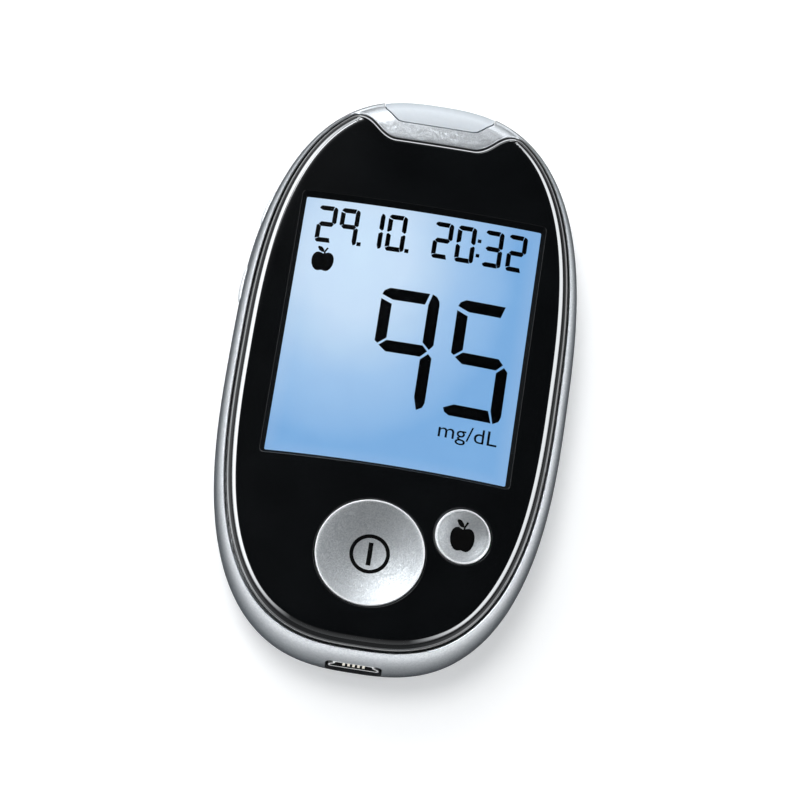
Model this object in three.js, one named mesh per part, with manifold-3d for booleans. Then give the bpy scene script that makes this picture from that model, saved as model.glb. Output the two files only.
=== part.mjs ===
// Blood glucose meter: a palm-sized meter with a crowned black face, a lit display and press buttons.
// Millimetres. The meter lies on its back: +Z leaves the display and +Y points to the test strip end.
// The origin is on the underside, below the middle of the body.
import * as THREE from 'three';
import { mergeVertices } from 'three/addons/utils/BufferGeometryUtils.js';
import Module from 'manifold-3d';

const wasm = await Module();
wasm.setup();

// Fits and sheet thicknesses
const fitGap = 0.3;
const cutOverrun = 3;
const weldDistance = 0.0001;

// Two coin cells side by side set the width of the body
const cellRadius = 10;
const cellHeight = 3.2;
const cellGap = 0.2;
const cellSideRoom = 6;
const cellX = cellRadius + cellGap;

// Body form
const bodyHalfWidth = cellX + cellRadius + cellSideRoom;
const bodyHalfLength = 45.5;
const widestHeight = 7.4;
const undersideInset = 4.35;
const rimSideInset = 1.8;
const rimEndInset = 1.7;
const rimEndDrop = 1.5;
const rimSideDip = 1.67;
const crownSag = 2.59;
const edgeRoundWidth = 3.2;
const partingHeight = 3.4;
const bodyPowerShare = 2.72;
const rimPowerShare = 2.74;
const crownTaperShare = 0.034;
const rimHalfWidth = bodyHalfWidth - rimSideInset;
const rimHalfLength = bodyHalfLength - rimEndInset;

// Housing walls and the bridge between the faceplate and the strip port
const wallThickness = 1.9;
const floorThickness = 1.5;
const faceplateThickness = 1.2;
const deckThickness = 1.2;
const notchDepth = 6.82;
const notchHalfWidth = 7.32;
const notchFillet = 1.6;
const peakFillet = 3.6;
const notchFlankShare = 0.9325;
const notchBottomY = rimHalfLength - notchDepth;

// Display stack
const windowSideMargin = 6.15;
const windowUpperMargin = 18;
const windowLowerMargin = 28.4;
const windowHalfWidth = rimHalfWidth - windowSideMargin;
const windowLowY = windowLowerMargin - rimHalfLength;
const windowHighY = rimHalfLength - windowUpperMargin;
const windowBevelWidth = 0.7;
const windowBevelDepth = 0.8;
const paneMargin = 0.95;
const paneThickness = 0.9;
const panelMargin = 0.55;
const panelThickness = 1.5;
const guideThickness = 1.4;
const guideSetback = 1.4;
const guideSideMargin = 0.15;
const holderWall = 0.8;
const flexThickness = 0.2;
const flexHalfWidth = 6;
const flexLipLength = 1.5;
const flexSpace = 0.9;
const flexSocketHeight = 0.9;
const flexSocketDepth = 1.7;

// Round buttons on the face
const powerX = -0.2;
const powerEndMargin = 14.3;
const powerY = powerEndMargin - rimHalfLength;
const powerRadius = 8.12;
const powerDish = 0.9;
const powerPlungerRadius = 2;
const mealOffsetX = 13.25;
const mealOffsetY = 4.87;
const mealX = powerX + mealOffsetX;
const mealY = powerY + mealOffsetY;
const mealRadius = 4.2;
const mealDish = 0.45;
const mealPlungerRadius = 1.3;
const buttonRimWidth = 0.45;
const buttonChamfer = 0.3;
const buttonWall = 1.1;
const buttonRoof = 1.3;
const flangeOverlap = 0.32;
const flangeThickness = 0.7;
const plungerLength = 1.05;
const buttonRestGap = 0.65;

// Silicone button mat and its snap domes
const matThickness = 0.6;
const powerMatRadius = 6;
const mealMatRadius = 4.4;
const matBridgeWidth = 3;
const powerDomeRadius = 4;
const mealDomeRadius = 3.6;
const domeTipRise = 0.35;
const domeShoulderRadius = 2.6;
const domeTipRadius = 1.5;
const snapDomeRadius = 2.3;
const snapDomeHeight = 0.45;

// Battery bay
const bayEndMargin = 32;
const bayY = bayEndMargin - bodyHalfLength;
const bayGap = 0.3;
const bayWall = 1;
const doorMarginX = 0.6;
const doorMarginY = 1.5;
const doorCorner = 9;
const doorThickness = 1.3;
const doorRecess = 0.15;
const hingeTabInnerX = 1;
const hingeTabOuterX = 3;
const hingeTabRise = 1.45;
const hingeTabThickness = 1;
const hingeTabReach = 1.6;
const hingeTabRoot = 1.2;
const hingePocketHeight = 3.7;
const hingePocketReach = 3.9;
const latchHalfWidth = 2.2;
const latchSlit = 0.6;
const latchLength = 5;
const latchNibRise = 0.8;
const latchNibDepth = 0.8;
const latchPocketHeight = 3;
const contactSpace = 1.45;
const minusContactHalfLength = 4;
const minusContactWidth = 4;
const minusContactLeg = 0.5;
const plusContactWidth = 4.4;
const plusContactTail = 2.2;
const plusPocketDepth = 0.9;
const cellBottom = doorRecess + doorThickness + fitGap;
const cellTop = cellBottom + cellHeight;

// Circuit board and the heights above it
const boardThickness = 1;
const boardInset = 2.6;
const boardLift = 0.3;
const boardRoom = 0.8;
const displaySpace = 8.6;
const boardHeight = cellTop + contactSpace;
const boardTop = boardHeight + boardThickness;
const partBase = boardTop + boardLift;
const underBoard = boardHeight - fitGap;
const bayTop = boardHeight - boardRoom;
const bodyHeight = boardTop + displaySpace;
const rimEndHeight = bodyHeight - rimEndDrop;

// Small parts on the board
const processorSize = 9;
const processorHeight = 1.2;
const processorX = -4;
const processorY = (windowLowY + windowHighY) / 2;
const memoryLength = 5;
const memoryWidth = 4;
const memoryHeight = 1;
const memoryOffsetX = 12;
const memoryOffsetY = 3;
const crystalRadius = 1;
const crystalLength = 6;
const crystalOffsetX = 13.8;
const crystalOffsetY = 4.5;
const ledLength = 3;
const ledWidth = 1.2;
const ledHeight = 0.8;
const ledSideMargin = 5.25;
const ledEndMargin = 6.4;
const buzzerRadius = 5.5;
const buzzerHeight = 2;
const buzzerPortRadius = 0.8;
const buzzerEndMargin = 3.8;
const buzzerY = windowHighY - buzzerEndMargin;

// Pod with two side buttons, on the left
const podEndMargin = 15.9;
const podLength = 23.1;
const podHighY = bodyHalfLength - podEndMargin;
const podLowY = podHighY - podLength;
const podFlatMargin = 0.6;
const podSlopeHeight = 0.75;
const podProud = 0.15;
const podRoot = 1.2;
const sideButtonProud = 0.45;
const sideButtonHalfLength = 2.8;
const sideButtonLift = 0.05;
const sideButtonHeight = 2;
const upButtonMargin = 4.7;
const downButtonMargin = 5.3;
const upButtonY = podHighY - upButtonMargin;
const downButtonY = podLowY + downButtonMargin;
const sideButtonLowHeight = partBase + sideButtonLift;
const sideButtonHighHeight = sideButtonLowHeight + sideButtonHeight;
const sideFlangeHalfLength = 3.4;
const sideFlangeThickness = 0.5;
const sideFlangeRise = 0.25;
const sideRestGap = 0.6;
const sideSwitchShift = 0.9;
const sideSwitchDepth = 1.25;
const sideSwitchHalfLength = 1.7;
const sideSwitchHeight = 2.6;
const sideSwitchTipLength = 0.3;
const sideSwitchTipHalfWidth = 0.6;

// Test strip port
const insertDepth = 5.55;
const insertInnerY = bodyHalfLength - insertDepth;
const insertInnerHalfWidth = 6;
const insertHalfWidth = 8.6;
const insertWall = 2.2;
const insertSink = 0.2;
const insertBottom = boardHeight - insertSink;
const slotHalfWidth = 3.6;
const slotRise = 1.7;
const slotHeight = boardTop + slotRise;
const slotOpening = 1.3;
const slotFlare = 0.7;
const socketHalfWidth = 4.9;
const socketSetback = 3.5;
const socketLength = 11;
const socketHighY = bodyHalfLength - socketSetback;
const socketLowY = socketHighY - socketLength;
const socketHeight = 3.9;
const socketSlotDepth = 8;
const contactPitch = 2.2;
const contactWidth = 0.8;
const contactThickness = 0.2;
const contactTail = 1.5;
const contactRise = 1.5;
const stripLightSpace = 2;
const stripLightSetback = 4.4;
const stripLightLength = 1.8;
const stripLightHeight = 0.7;

// Data socket at the lower end
const usbSink = 0.35;
const usbBottom = boardHeight - usbSink;
const usbHalfWidth = 3.85;
const usbRoofHalfWidth = 3.1;
const usbHeight = 3.1;
const usbSideHeight = 1.1;
const usbRoofHeight = 1.9;
const usbWall = 0.35;
const usbDepth = 8.6;
const usbSetback = 0.6;
const usbTongueHalfWidth = 2.3;
const usbTongueThickness = 0.8;
const usbTongueSetback = 0.5;
const usbMouthMarginX = 0.4;
const usbMouthMarginZ = 0.6;
const usbMouthRise = 0.9;
const usbMouthCorner = 1.2;

// Screws that hold the two housings
const screwUpperSideMargin = 13.7;
const screwUpperEndMargin = 14.5;
const screwLowerSideMargin = 14.7;
const screwLowerEndMargin = 10.5;
const screwUpperX = bodyHalfWidth - screwUpperSideMargin;
const screwUpperY = bodyHalfLength - screwUpperEndMargin;
const screwLowerX = bodyHalfWidth - screwLowerSideMargin;
const screwLowerY = screwLowerEndMargin - bodyHalfLength;
const screwShankRadius = 0.9;
const screwHeadRadius = 1.9;
const screwHeadHeight = 1.3;
const screwHeadDepth = 0.9;
const screwReach = 3.8;
const screwTipHeight = boardTop + screwReach;
const screwPointLength = 0.5;
const screwSlotWidth = 0.5;
const screwSlotDepth = 0.6;
const screwSlotHalfLength = 1.2;
const bossRadius = 2.4;
const postRadius = 3.1;

// Blank rating label on the underside
const labelHalfWidth = 13;
const labelLength = 20;
const labelSpace = 6.7;
const labelLowY = bayY + cellRadius + bayGap + doorMarginY + labelSpace;
const labelHighY = labelLowY + labelLength;
const labelThickness = 0.2;
const labelRecess = 0.6;
const labelSetback = 0.1;

// Heights that follow from the stack
const rearTop = partingHeight - fitGap / 2;
const frontBottom = partingHeight + fitGap / 2;
const recessDrop = faceplateThickness + fitGap;
const deckDrop = recessDrop + deckThickness;
const panelDrop = recessDrop + paneThickness + fitGap;
const guideDrop = panelDrop + panelThickness + fitGap;
const holderDrop = deckDrop + fitGap;

const coarseTurn = THREE.MathUtils.degToRad(6);
const fineTurn = THREE.MathUtils.degToRad(1.25);
const flankStart = THREE.MathUtils.degToRad(70);
const flankEnd = THREE.MathUtils.degToRad(82.5);
const shoulderTurn = THREE.MathUtils.degToRad(75);
const quarterTurn = Math.PI / 2;

// Angles around the body, symmetric about the YZ plane and closer together at the notch flanks
function ringAngles() {
  const right = [];
  for (let angle = -quarterTurn; angle < flankStart - coarseTurn / 2; angle += coarseTurn) {
    right.push(angle);
  }
  for (let angle = flankStart; angle <= flankEnd + fineTurn / 2; angle += fineTurn) {
    right.push(angle);
  }
  right.push((flankEnd + quarterTurn) / 2);
  right.push(quarterTurn);
  const left = right.slice(1, -1).reverse().map((angle) => Math.PI - angle);
  return right.concat(left);
}

const angles = ringAngles();

function outlineRadius(angle, halfWidth, halfLength, power) {
  const across = Math.abs(Math.cos(angle)) / halfWidth;
  const along = Math.abs(Math.sin(angle)) / halfLength;
  return (across ** power + along ** power) ** (-1 / power);
}

function bodyRadius(angle, inset = 0) {
  return outlineRadius(angle, bodyHalfWidth - inset, bodyHalfLength - inset, bodyPowerShare);
}

function rimRadius(angle, inset = 0) {
  return outlineRadius(angle, rimHalfWidth - inset, rimHalfLength - inset, rimPowerShare);
}

function smoothMin(first, second, blend) {
  const overlap = Math.max(blend - Math.abs(first - second), 0) / blend;
  return Math.min(first, second) - overlap * overlap * blend / 4;
}

// Outline of the faceplate: the rim, cut back by the bridge at the strip end
function faceRadius(angle, inset = 0) {
  const rim = rimRadius(angle, inset);
  const rise = Math.sin(angle);
  const flankRise = rise - notchFlankShare * Math.abs(Math.cos(angle));
  if (flankRise <= 0) {
    return rim;
  }
  const flankInset = inset * Math.hypot(1, notchFlankShare);
  const flank = (notchBottomY - notchFlankShare * notchHalfWidth - flankInset) / flankRise;
  const floor = (notchBottomY - inset) / rise;
  const notch = -smoothMin(-floor, -flank, notchFillet);
  return smoothMin(rim, notch, peakFillet);
}

function crownHeight(x, y) {
  return bodyHeight - (crownSag - crownTaperShare * y) * (x / rimHalfWidth) ** 2;
}

function rimHeight(x) {
  return rimEndHeight - rimSideDip * (x / rimHalfWidth) ** 2;
}

// Height of the top surface: a crown across the body that rounds off towards the rim
function topHeight(x, y) {
  const reach = Math.hypot(x, y);
  const inset = rimRadius(Math.atan2(y, x)) - reach;
  const flatShare = Math.min(Math.max(inset / edgeRoundWidth, 0), 1);
  const crown = crownHeight(x, y);
  const drop = Math.max(crown - rimHeight(x), 0);
  return crown - drop * (1 - flatShare) ** 2;
}

// Share of the inset that the side wall has reached after a turn, above the widest line
function shoulderShare(turn) {
  return (1 - Math.cos(turn)) / (1 - Math.cos(shoulderTurn));
}

// Inset of the side wall at a height, above or below the widest line
function sideInset(height) {
  const rise = height - widestHeight;
  if (rise < 0) {
    const share = Math.min(-rise / widestHeight, 1);
    return undersideInset * (1 - Math.sqrt(1 - share * share));
  }
  const share = Math.min(rise / (rimEndHeight - rimSideDip - widestHeight), 1);
  return rimSideInset * shoulderShare(Math.asin(share * Math.sin(shoulderTurn)));
}

function sideReach(y, inset) {
  const share = Math.min(Math.abs(y) / (bodyHalfLength - inset), 1);
  return (bodyHalfWidth - inset) * (1 - share ** bodyPowerShare) ** (1 / bodyPowerShare);
}

// Solids from point rings and grids
function solidFromArrays(points, faces) {
  const vertProperties = new Float32Array(points.flatMap((point) => [point.x, point.y, point.z]));
  const triVerts = new Uint32Array(faces.flat());
  return new wasm.Manifold(new wasm.Mesh({ numProp: 3, vertProperties, triVerts }));
}

function solidFromGeometry(geometry) {
  const bare = geometry.clone();
  bare.deleteAttribute('normal');
  bare.deleteAttribute('uv');
  const merged = mergeVertices(bare, weldDistance);
  const vertProperties = merged.attributes.position.array;
  const triVerts = new Uint32Array(merged.index.array);
  return new wasm.Manifold(new wasm.Mesh({ numProp: 3, vertProperties, triVerts }));
}

// Closed solid through rings of equal count, from the lowest ring to the highest, with a point at each end
function loft(lowCentre, rings, highCentre) {
  const count = rings[0].length;
  const points = [lowCentre, ...rings.flat(), highCentre];
  const last = points.length - 1;
  const faces = [];
  for (let step = 0; step < count; step += 1) {
    const next = (step + 1) % count;
    faces.push([0, 1 + next, 1 + step]);
    for (let level = 0; level < rings.length - 1; level += 1) {
      const low = 1 + level * count;
      const high = low + count;
      faces.push([low + step, low + next, high + next]);
      faces.push([low + step, high + next, high + step]);
    }
    const top = last - count;
    faces.push([top + step, top + next, last]);
  }
  return solidFromArrays(points, faces);
}

// Closed solid between two grids of points that face each other, the front one seen from outside
function gridSolid(front, back) {
  const rows = front.length;
  const columns = front[0].length;
  const points = [...front.flat(), ...back.flat()];
  const frontAt = (row, column) => row * columns + column;
  const backAt = (row, column) => rows * columns + frontAt(row, column);
  const faces = [];
  const addQuad = (a, b, c, d) => {
    faces.push([a, b, c]);
    faces.push([a, c, d]);
  };
  for (let row = 0; row < rows - 1; row += 1) {
    for (let column = 0; column < columns - 1; column += 1) {
      addQuad(frontAt(row, column), frontAt(row + 1, column),
        frontAt(row + 1, column + 1), frontAt(row, column + 1));
      addQuad(backAt(row, column), backAt(row, column + 1),
        backAt(row + 1, column + 1), backAt(row + 1, column));
    }
    const end = columns - 1;
    addQuad(frontAt(row, 0), backAt(row, 0), backAt(row + 1, 0), frontAt(row + 1, 0));
    addQuad(frontAt(row, end), frontAt(row + 1, end), backAt(row + 1, end), backAt(row, end));
  }
  for (let column = 0; column < columns - 1; column += 1) {
    const end = rows - 1;
    addQuad(frontAt(0, column), frontAt(0, column + 1), backAt(0, column + 1), backAt(0, column));
    addQuad(frontAt(end, column), backAt(end, column), backAt(end, column + 1), frontAt(end, column + 1));
  }
  return solidFromArrays(points, faces);
}

function ring(radiusAt, heightAt, scale = 1) {
  return angles.map((angle) => {
    const radius = radiusAt(angle) * scale;
    const x = radius * Math.cos(angle);
    const y = radius * Math.sin(angle);
    return new THREE.Vector3(x, y, heightAt(x, y));
  });
}

function box(lowX, highX, lowY, highY, lowZ, highZ) {
  const geometry = new THREE.BoxGeometry(highX - lowX, highY - lowY, highZ - lowZ);
  geometry.translate((lowX + highX) / 2, (lowY + highY) / 2, (lowZ + highZ) / 2);
  return solidFromGeometry(geometry);
}

function disc(x, y, radius, lowZ, highZ, sides = 32, highRadius = radius) {
  const geometry = new THREE.CylinderGeometry(highRadius, radius, highZ - lowZ, sides);
  geometry.rotateX(quarterTurn);
  geometry.translate(x, y, (lowZ + highZ) / 2);
  return solidFromGeometry(geometry);
}

function prism(points, lowZ, highZ) {
  const shape = new THREE.Shape(points);
  const geometry = new THREE.ExtrudeGeometry(shape, { depth: highZ - lowZ, bevelEnabled: false });
  geometry.translate(0, 0, lowZ);
  return solidFromGeometry(geometry);
}

// Prism of an outline drawn in X and Z, running along Y
function prismAlongY(points, lowY, highY) {
  const shape = new THREE.Shape(points);
  const geometry = new THREE.ExtrudeGeometry(shape, { depth: highY - lowY, bevelEnabled: false });
  geometry.rotateX(quarterTurn);
  geometry.translate(0, highY, 0);
  return solidFromGeometry(geometry);
}

function lathe(points, sides) {
  const geometry = new THREE.LatheGeometry(points, sides);
  geometry.rotateX(quarterTurn);
  return solidFromGeometry(geometry);
}

function vector2List(pairs) {
  return pairs.map(([x, y]) => new THREE.Vector2(x, y));
}

function roundedRectangle(halfWidth, halfLength, radius, centreY) {
  const cornerSteps = 6;
  const corners = [[1, -1, -1], [1, 1, 0], [-1, 1, 1], [-1, -1, 2]];
  return corners.flatMap(([sideX, sideY, quarter]) => {
    const points = [];
    for (let step = 0; step <= cornerSteps; step += 1) {
      const angle = (quarter + step / cornerSteps) * quarterTurn;
      const x = sideX * (halfWidth - radius) + radius * Math.cos(angle);
      const y = centreY + sideY * (halfLength - radius) + radius * Math.sin(angle);
      points.push(new THREE.Vector2(x, y));
    }
    return points;
  });
}

const root = new THREE.Group();
root.name = 'blood_glucose_meter';

const finishes = {
  silver: { color: 0xb4bcc1, roughness: 0.34, metalness: 0.75 },
  rearGrey: { color: 0x9ba3a8, roughness: 0.45, metalness: 0.55 },
  glossBlack: { color: 0x07090a, roughness: 0.06, metalness: 0 },
  clear: { color: 0xe6eef4, roughness: 0.03, metalness: 0 },
  display: { color: 0xa9c9ea, roughness: 0.25, metalness: 0 },
  diffuser: { color: 0xf2f5f8, roughness: 0.5, metalness: 0 },
  whitePlastic: { color: 0xe4e6e6, roughness: 0.55, metalness: 0 },
  amberFilm: { color: 0xb9762b, roughness: 0.4, metalness: 0 },
  board: { color: 0x1f5a38, roughness: 0.5, metalness: 0 },
  chip: { color: 0x16181a, roughness: 0.6, metalness: 0 },
  steel: { color: 0xb9bcc0, roughness: 0.3, metalness: 1 },
  gold: { color: 0xc9a24a, roughness: 0.3, metalness: 1 },
  silicone: { color: 0x8f979c, roughness: 0.7, metalness: 0 },
  portWhite: { color: 0xdfe8ef, roughness: 0.25, metalness: 0 },
  label: { color: 0xd7dadc, roughness: 0.5, metalness: 0 },
};

function addMesh(name, solid, finish) {
  const mesh = solid.getMesh();
  const geometry = new THREE.BufferGeometry();
  geometry.setAttribute('position', new THREE.BufferAttribute(mesh.vertProperties, 3));
  geometry.setIndex(new THREE.BufferAttribute(mesh.triVerts, 1));
  geometry.computeVertexNormals();
  const part = new THREE.Mesh(geometry, new THREE.MeshStandardMaterial(finishes[finish]));
  part.name = name;
  root.add(part);
  return part;
}

// Slab that follows the face: its top lies topDrop and its bottom lowDrop under the face surface
const slabShares = [0.4, 0.7, 0.88, 0.95, 1];

function faceSlab(radiusAt, lowDrop, topDrop) {
  const lowAt = (x, y) => topHeight(x, y) - lowDrop;
  const highAt = (x, y) => topHeight(x, y) - topDrop;
  const low = slabShares.map((share) => ring(radiusAt, lowAt, share));
  const high = slabShares.map((share) => ring(radiusAt, highAt, share)).reverse();
  const lowCentre = new THREE.Vector3(0, 0, lowAt(0, 0));
  const highCentre = new THREE.Vector3(0, 0, highAt(0, 0));
  return loft(lowCentre, [...low, ...high], highCentre);
}

// Upper half of the body without any opening, from the parting line to the face surface
function upperBody() {
  const turns = [0, 0.2, 0.4, 0.6, 0.8, 1].map((share) => share * shoulderTurn);
  const lowRing = ring((angle) => bodyRadius(angle, sideInset(frontBottom)), () => frontBottom);
  const shoulder = turns.map((turn) => {
    const share = shoulderShare(turn);
    const rise = Math.sin(turn) / Math.sin(shoulderTurn);
    const radiusAt = (angle) => bodyRadius(angle) + (rimRadius(angle) - bodyRadius(angle)) * share;
    const heightAt = (x) => widestHeight + (rimHeight(x) - widestHeight) * rise;
    return ring(radiusAt, heightAt);
  });
  const face = slabShares.slice(0, -1).reverse().map((share) => ring(rimRadius, topHeight, share));
  const lowCentre = new THREE.Vector3(0, 0, frontBottom);
  const highCentre = new THREE.Vector3(0, 0, topHeight(0, 0));
  return loft(lowCentre, [lowRing, ...shoulder, ...face], highCentre);
}

// Room inside the front half: straight walls up to a roof that follows the face
function upperRoom(inset, roofDrop) {
  const radiusAt = (angle) => bodyRadius(angle, inset);
  const roofAt = (x, y) => topHeight(x, y) - roofDrop;
  const low = ring(radiusAt, () => frontBottom - cutOverrun);
  const roof = slabShares.map((share) => ring(radiusAt, roofAt, share)).reverse();
  const lowCentre = new THREE.Vector3(0, 0, frontBottom - cutOverrun);
  const highCentre = new THREE.Vector3(0, 0, roofAt(0, 0));
  return loft(lowCentre, [low, ...roof], highCentre);
}

// Straight-sided slab over a rectangle, bent to the crown on both faces
function crownSlab(low, high) {
  const stations = 12;
  const gridAt = ({ halfWidth, lowY, highY, drop }) => {
    const rows = [];
    for (let step = 0; step <= stations; step += 1) {
      const x = halfWidth * (2 * step / stations - 1);
      rows.push([lowY, highY].map((y) => new THREE.Vector3(x, y, crownHeight(x, y) - drop)));
    }
    return rows;
  };
  return gridSolid(gridAt(high), gridAt(low));
}

function windowOutline(margin, drop) {
  return {
    halfWidth: windowHalfWidth + margin,
    lowY: windowLowY - margin,
    highY: windowHighY + margin,
    drop,
  };
}

function windowBox(margin, lowZ, highZ) {
  const { halfWidth, lowY, highY } = windowOutline(margin, 0);
  return box(-halfWidth, halfWidth, lowY, highY, lowZ, highZ);
}

// The two round buttons: seat height, tilt with the crown, and depths below the top of the button
const mealTop = crownHeight(mealX, mealY);
const mealSlope = 2 * (crownSag - crownTaperShare * mealY) * mealX / rimHalfWidth ** 2;
const mealTilt = Math.atan(mealSlope);

function flangeDrop(radius, y) {
  const edgeSag = (crownSag - crownTaperShare * y) * (radius / rimHalfWidth) ** 2;
  return deckDrop + edgeSag + fitGap;
}

const powerButton = {
  radius: powerRadius, dish: powerDish, plungerRadius: powerPlungerRadius,
  flange: flangeDrop(powerRadius + fitGap + flangeOverlap, powerY),
};
const mealButton = {
  radius: mealRadius, dish: mealDish, plungerRadius: mealPlungerRadius,
  flange: flangeDrop(mealRadius + fitGap + flangeOverlap, mealY),
};

function buttonReach(button) {
  return button.flange + flangeThickness + plungerLength;
}

function placePower(solid) {
  return solid.translate([powerX, powerY, bodyHeight]);
}

function placeMeal(solid) {
  return solid.rotate([0, THREE.MathUtils.radToDeg(mealTilt), 0]).translate([mealX, mealY, mealTop]);
}

// Concave cap with a chamfered rim, a retaining flange below the deck and a plunger in the middle
function roundButton({ radius, dish, plungerRadius, flange }, sides) {
  const flangeRadius = radius + fitGap + flangeOverlap;
  const flangeBottom = flange + flangeThickness;
  const dishRadius = radius - buttonRimWidth - buttonChamfer;
  const dishSteps = 4;
  const profile = [];
  for (let step = 0; step < dishSteps; step += 1) {
    const share = step / dishSteps;
    profile.push([share * dishRadius, -dish * (1 - share * share)]);
  }
  profile.push([dishRadius, 0]);
  profile.push([radius - buttonChamfer, 0]);
  profile.push([radius, -buttonChamfer]);
  profile.push([radius, -flange]);
  profile.push([flangeRadius, -flange]);
  profile.push([flangeRadius, -flangeBottom]);
  profile.push([radius - buttonWall, -flangeBottom]);
  profile.push([radius - buttonWall, -dish - buttonRoof]);
  profile.push([plungerRadius, -dish - buttonRoof]);
  profile.push([plungerRadius, -flangeBottom - plungerLength]);
  profile.push([0, -flangeBottom - plungerLength]);
  return lathe(vector2List(profile.reverse()), sides);
}

function buttonHole(radius) {
  return disc(0, 0, radius + fitGap, -bodyHeight, cutOverrun, 40);
}

// Front housing: silver frame with the bridge, a deck under the faceplate, screw bosses and the side pod
const powerHole = placePower(buttonHole(powerRadius));
const mealHole = placeMeal(buttonHole(mealRadius));

function insertOutline(margin) {
  const slant = (insertHalfWidth - insertInnerHalfWidth) * notchFlankShare;
  const innerY = insertInnerY - margin;
  const outerY = bodyHalfLength + cutOverrun;
  const cornerY = innerY + slant;
  return vector2List([
    [-insertInnerHalfWidth - margin, innerY],
    [insertInnerHalfWidth + margin, innerY],
    [insertHalfWidth + margin, cornerY],
    [insertHalfWidth + margin, outerY],
    [-insertHalfWidth - margin, outerY],
    [-insertHalfWidth - margin, cornerY],
  ]);
}

const screwPlaces = [
  [-screwUpperX, screwUpperY],
  [screwUpperX, screwUpperY],
  [-screwLowerX, screwLowerY],
  [screwLowerX, screwLowerY],
];

// Swell of the pod along Y: nothing at its ends, full over the two buttons, less in the saddle
function podSwell(y) {
  const length = podHighY - podLowY;
  const place = Math.min(Math.max((y - podLowY) / length, 0), 1);
  return Math.sin(Math.PI * place) ** 0.7;
}

// Solid that lies along the left wall: outerAt and innerAt give its distance from the middle plane
function sideSolid({ lowY, highY, steps, heights, outerAt, innerAt }) {
  const gridAt = (reachAt) => {
    const rows = [];
    for (let step = 0; step <= steps; step += 1) {
      const y = lowY + (highY - lowY) * step / steps;
      rows.push(heights.map((z, level) => new THREE.Vector3(-reachAt(y, z, level), y, z)));
    }
    return rows;
  };
  return gridSolid(gridAt(innerAt), gridAt(outerAt));
}

function sidePod() {
  const proudShares = [0, 1, 1, 0];
  return sideSolid({
    lowY: podLowY,
    highY: podHighY,
    steps: 14,
    heights: [
      sideButtonLowHeight - podFlatMargin - podSlopeHeight,
      sideButtonLowHeight - podFlatMargin,
      sideButtonHighHeight + podFlatMargin,
      sideButtonHighHeight + podFlatMargin + podSlopeHeight,
    ],
    outerAt: (y, z, level) => sideReach(y, sideInset(z)) + podProud * podSwell(y) * proudShares[level],
    innerAt: (y, z) => sideReach(y, sideInset(z) + podRoot),
  });
}

function sideButton(centreY) {
  const edgeShares = [0.55, 1, 1, 0.55];
  const innerInset = wallThickness + fitGap + sideFlangeThickness;
  const stem = sideSolid({
    lowY: centreY - sideButtonHalfLength,
    highY: centreY + sideButtonHalfLength,
    steps: 6,
    heights: [0, 0.15, 0.85, 1].map((share) => (
      sideButtonLowHeight + (sideButtonHighHeight - sideButtonLowHeight) * share)),
    outerAt: (y, z, level) => {
      const offset = (y - centreY) / sideButtonHalfLength;
      const proud = sideButtonProud * edgeShares[level] * (1 - 0.45 * offset * offset);
      return sideReach(y, sideInset(z)) + proud;
    },
    innerAt: (y) => sideReach(y, innerInset - sideFlangeThickness / 2),
  });
  const flange = sideSolid({
    lowY: centreY - sideFlangeHalfLength,
    highY: centreY + sideFlangeHalfLength,
    steps: 6,
    heights: [partBase, sideButtonHighHeight + fitGap + sideFlangeRise],
    outerAt: (y) => sideReach(y, innerInset - sideFlangeThickness),
    innerAt: (y) => sideReach(y, innerInset),
  });
  return stem.add(flange);
}

function sideSlot(centreY) {
  const reach = sideButtonHalfLength + fitGap;
  return box(-bodyHalfWidth - cutOverrun, -sideReach(centreY + reach, wallThickness) + cutOverrun,
    centreY - reach, centreY + reach, sideButtonLowHeight - fitGap, sideButtonHighHeight + fitGap);
}

function usbOutline(grow) {
  const base = usbBottom;
  return vector2List([
    [-usbHalfWidth - grow, base - grow],
    [usbHalfWidth + grow, base - grow],
    [usbHalfWidth + grow, base + usbSideHeight],
    [usbRoofHalfWidth + grow, base + usbRoofHeight],
    [usbRoofHalfWidth + grow, base + usbHeight + grow],
    [-usbRoofHalfWidth - grow, base + usbHeight + grow],
    [-usbRoofHalfWidth - grow, base + usbRoofHeight],
    [-usbHalfWidth - grow, base + usbSideHeight],
  ]);
}

const usbMiddle = usbBottom + usbHeight / 2;
const usbFrontY = -bodyHalfLength + usbSetback;

// Rounded rectangular mouth in the end wall, in which the data socket sits
function usbMouth() {
  const outline = roundedRectangle(usbHalfWidth + usbMouthMarginX,
    (usbHeight + usbMouthRise) / 2 + usbMouthMarginZ, usbMouthCorner, usbMiddle + usbMouthRise / 2);
  return prismAlongY(outline, -bodyHalfLength - cutOverrun, -bodyHalfLength + wallThickness + cutOverrun);
}

function frontHousing() {
  let solid = upperBody();
  solid = solid.subtract(upperRoom(wallThickness, deckDrop));
  solid = solid.add(sidePod());
  for (const [x, y] of screwPlaces) {
    const bossTop = topHeight(x, y) - recessDrop - deckThickness / 2;
    solid = solid.add(disc(x, y, bossRadius, partBase, bossTop, 20));
  }
  const recess = faceSlab((angle) => faceRadius(angle, -fitGap / 2), recessDrop, -cutOverrun);
  solid = solid.subtract(recess);
  solid = solid.subtract(windowBox(paneMargin + fitGap, partBase, bodyHeight + cutOverrun));
  solid = solid.subtract(powerHole).subtract(mealHole);
  solid = solid.subtract(prism(insertOutline(fitGap), insertBottom - fitGap, bodyHeight + cutOverrun));
  solid = solid.subtract(usbMouth());
  solid = solid.subtract(sideSlot(upButtonY)).subtract(sideSlot(downButtonY));
  for (const [x, y] of screwPlaces) {
    const hole = disc(x, y, screwShankRadius + fitGap, 0, screwTipHeight + fitGap, 12);
    solid = solid.subtract(hole);
  }
  return solid;
}

addMesh('front_housing', frontHousing(), 'silver');

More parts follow.
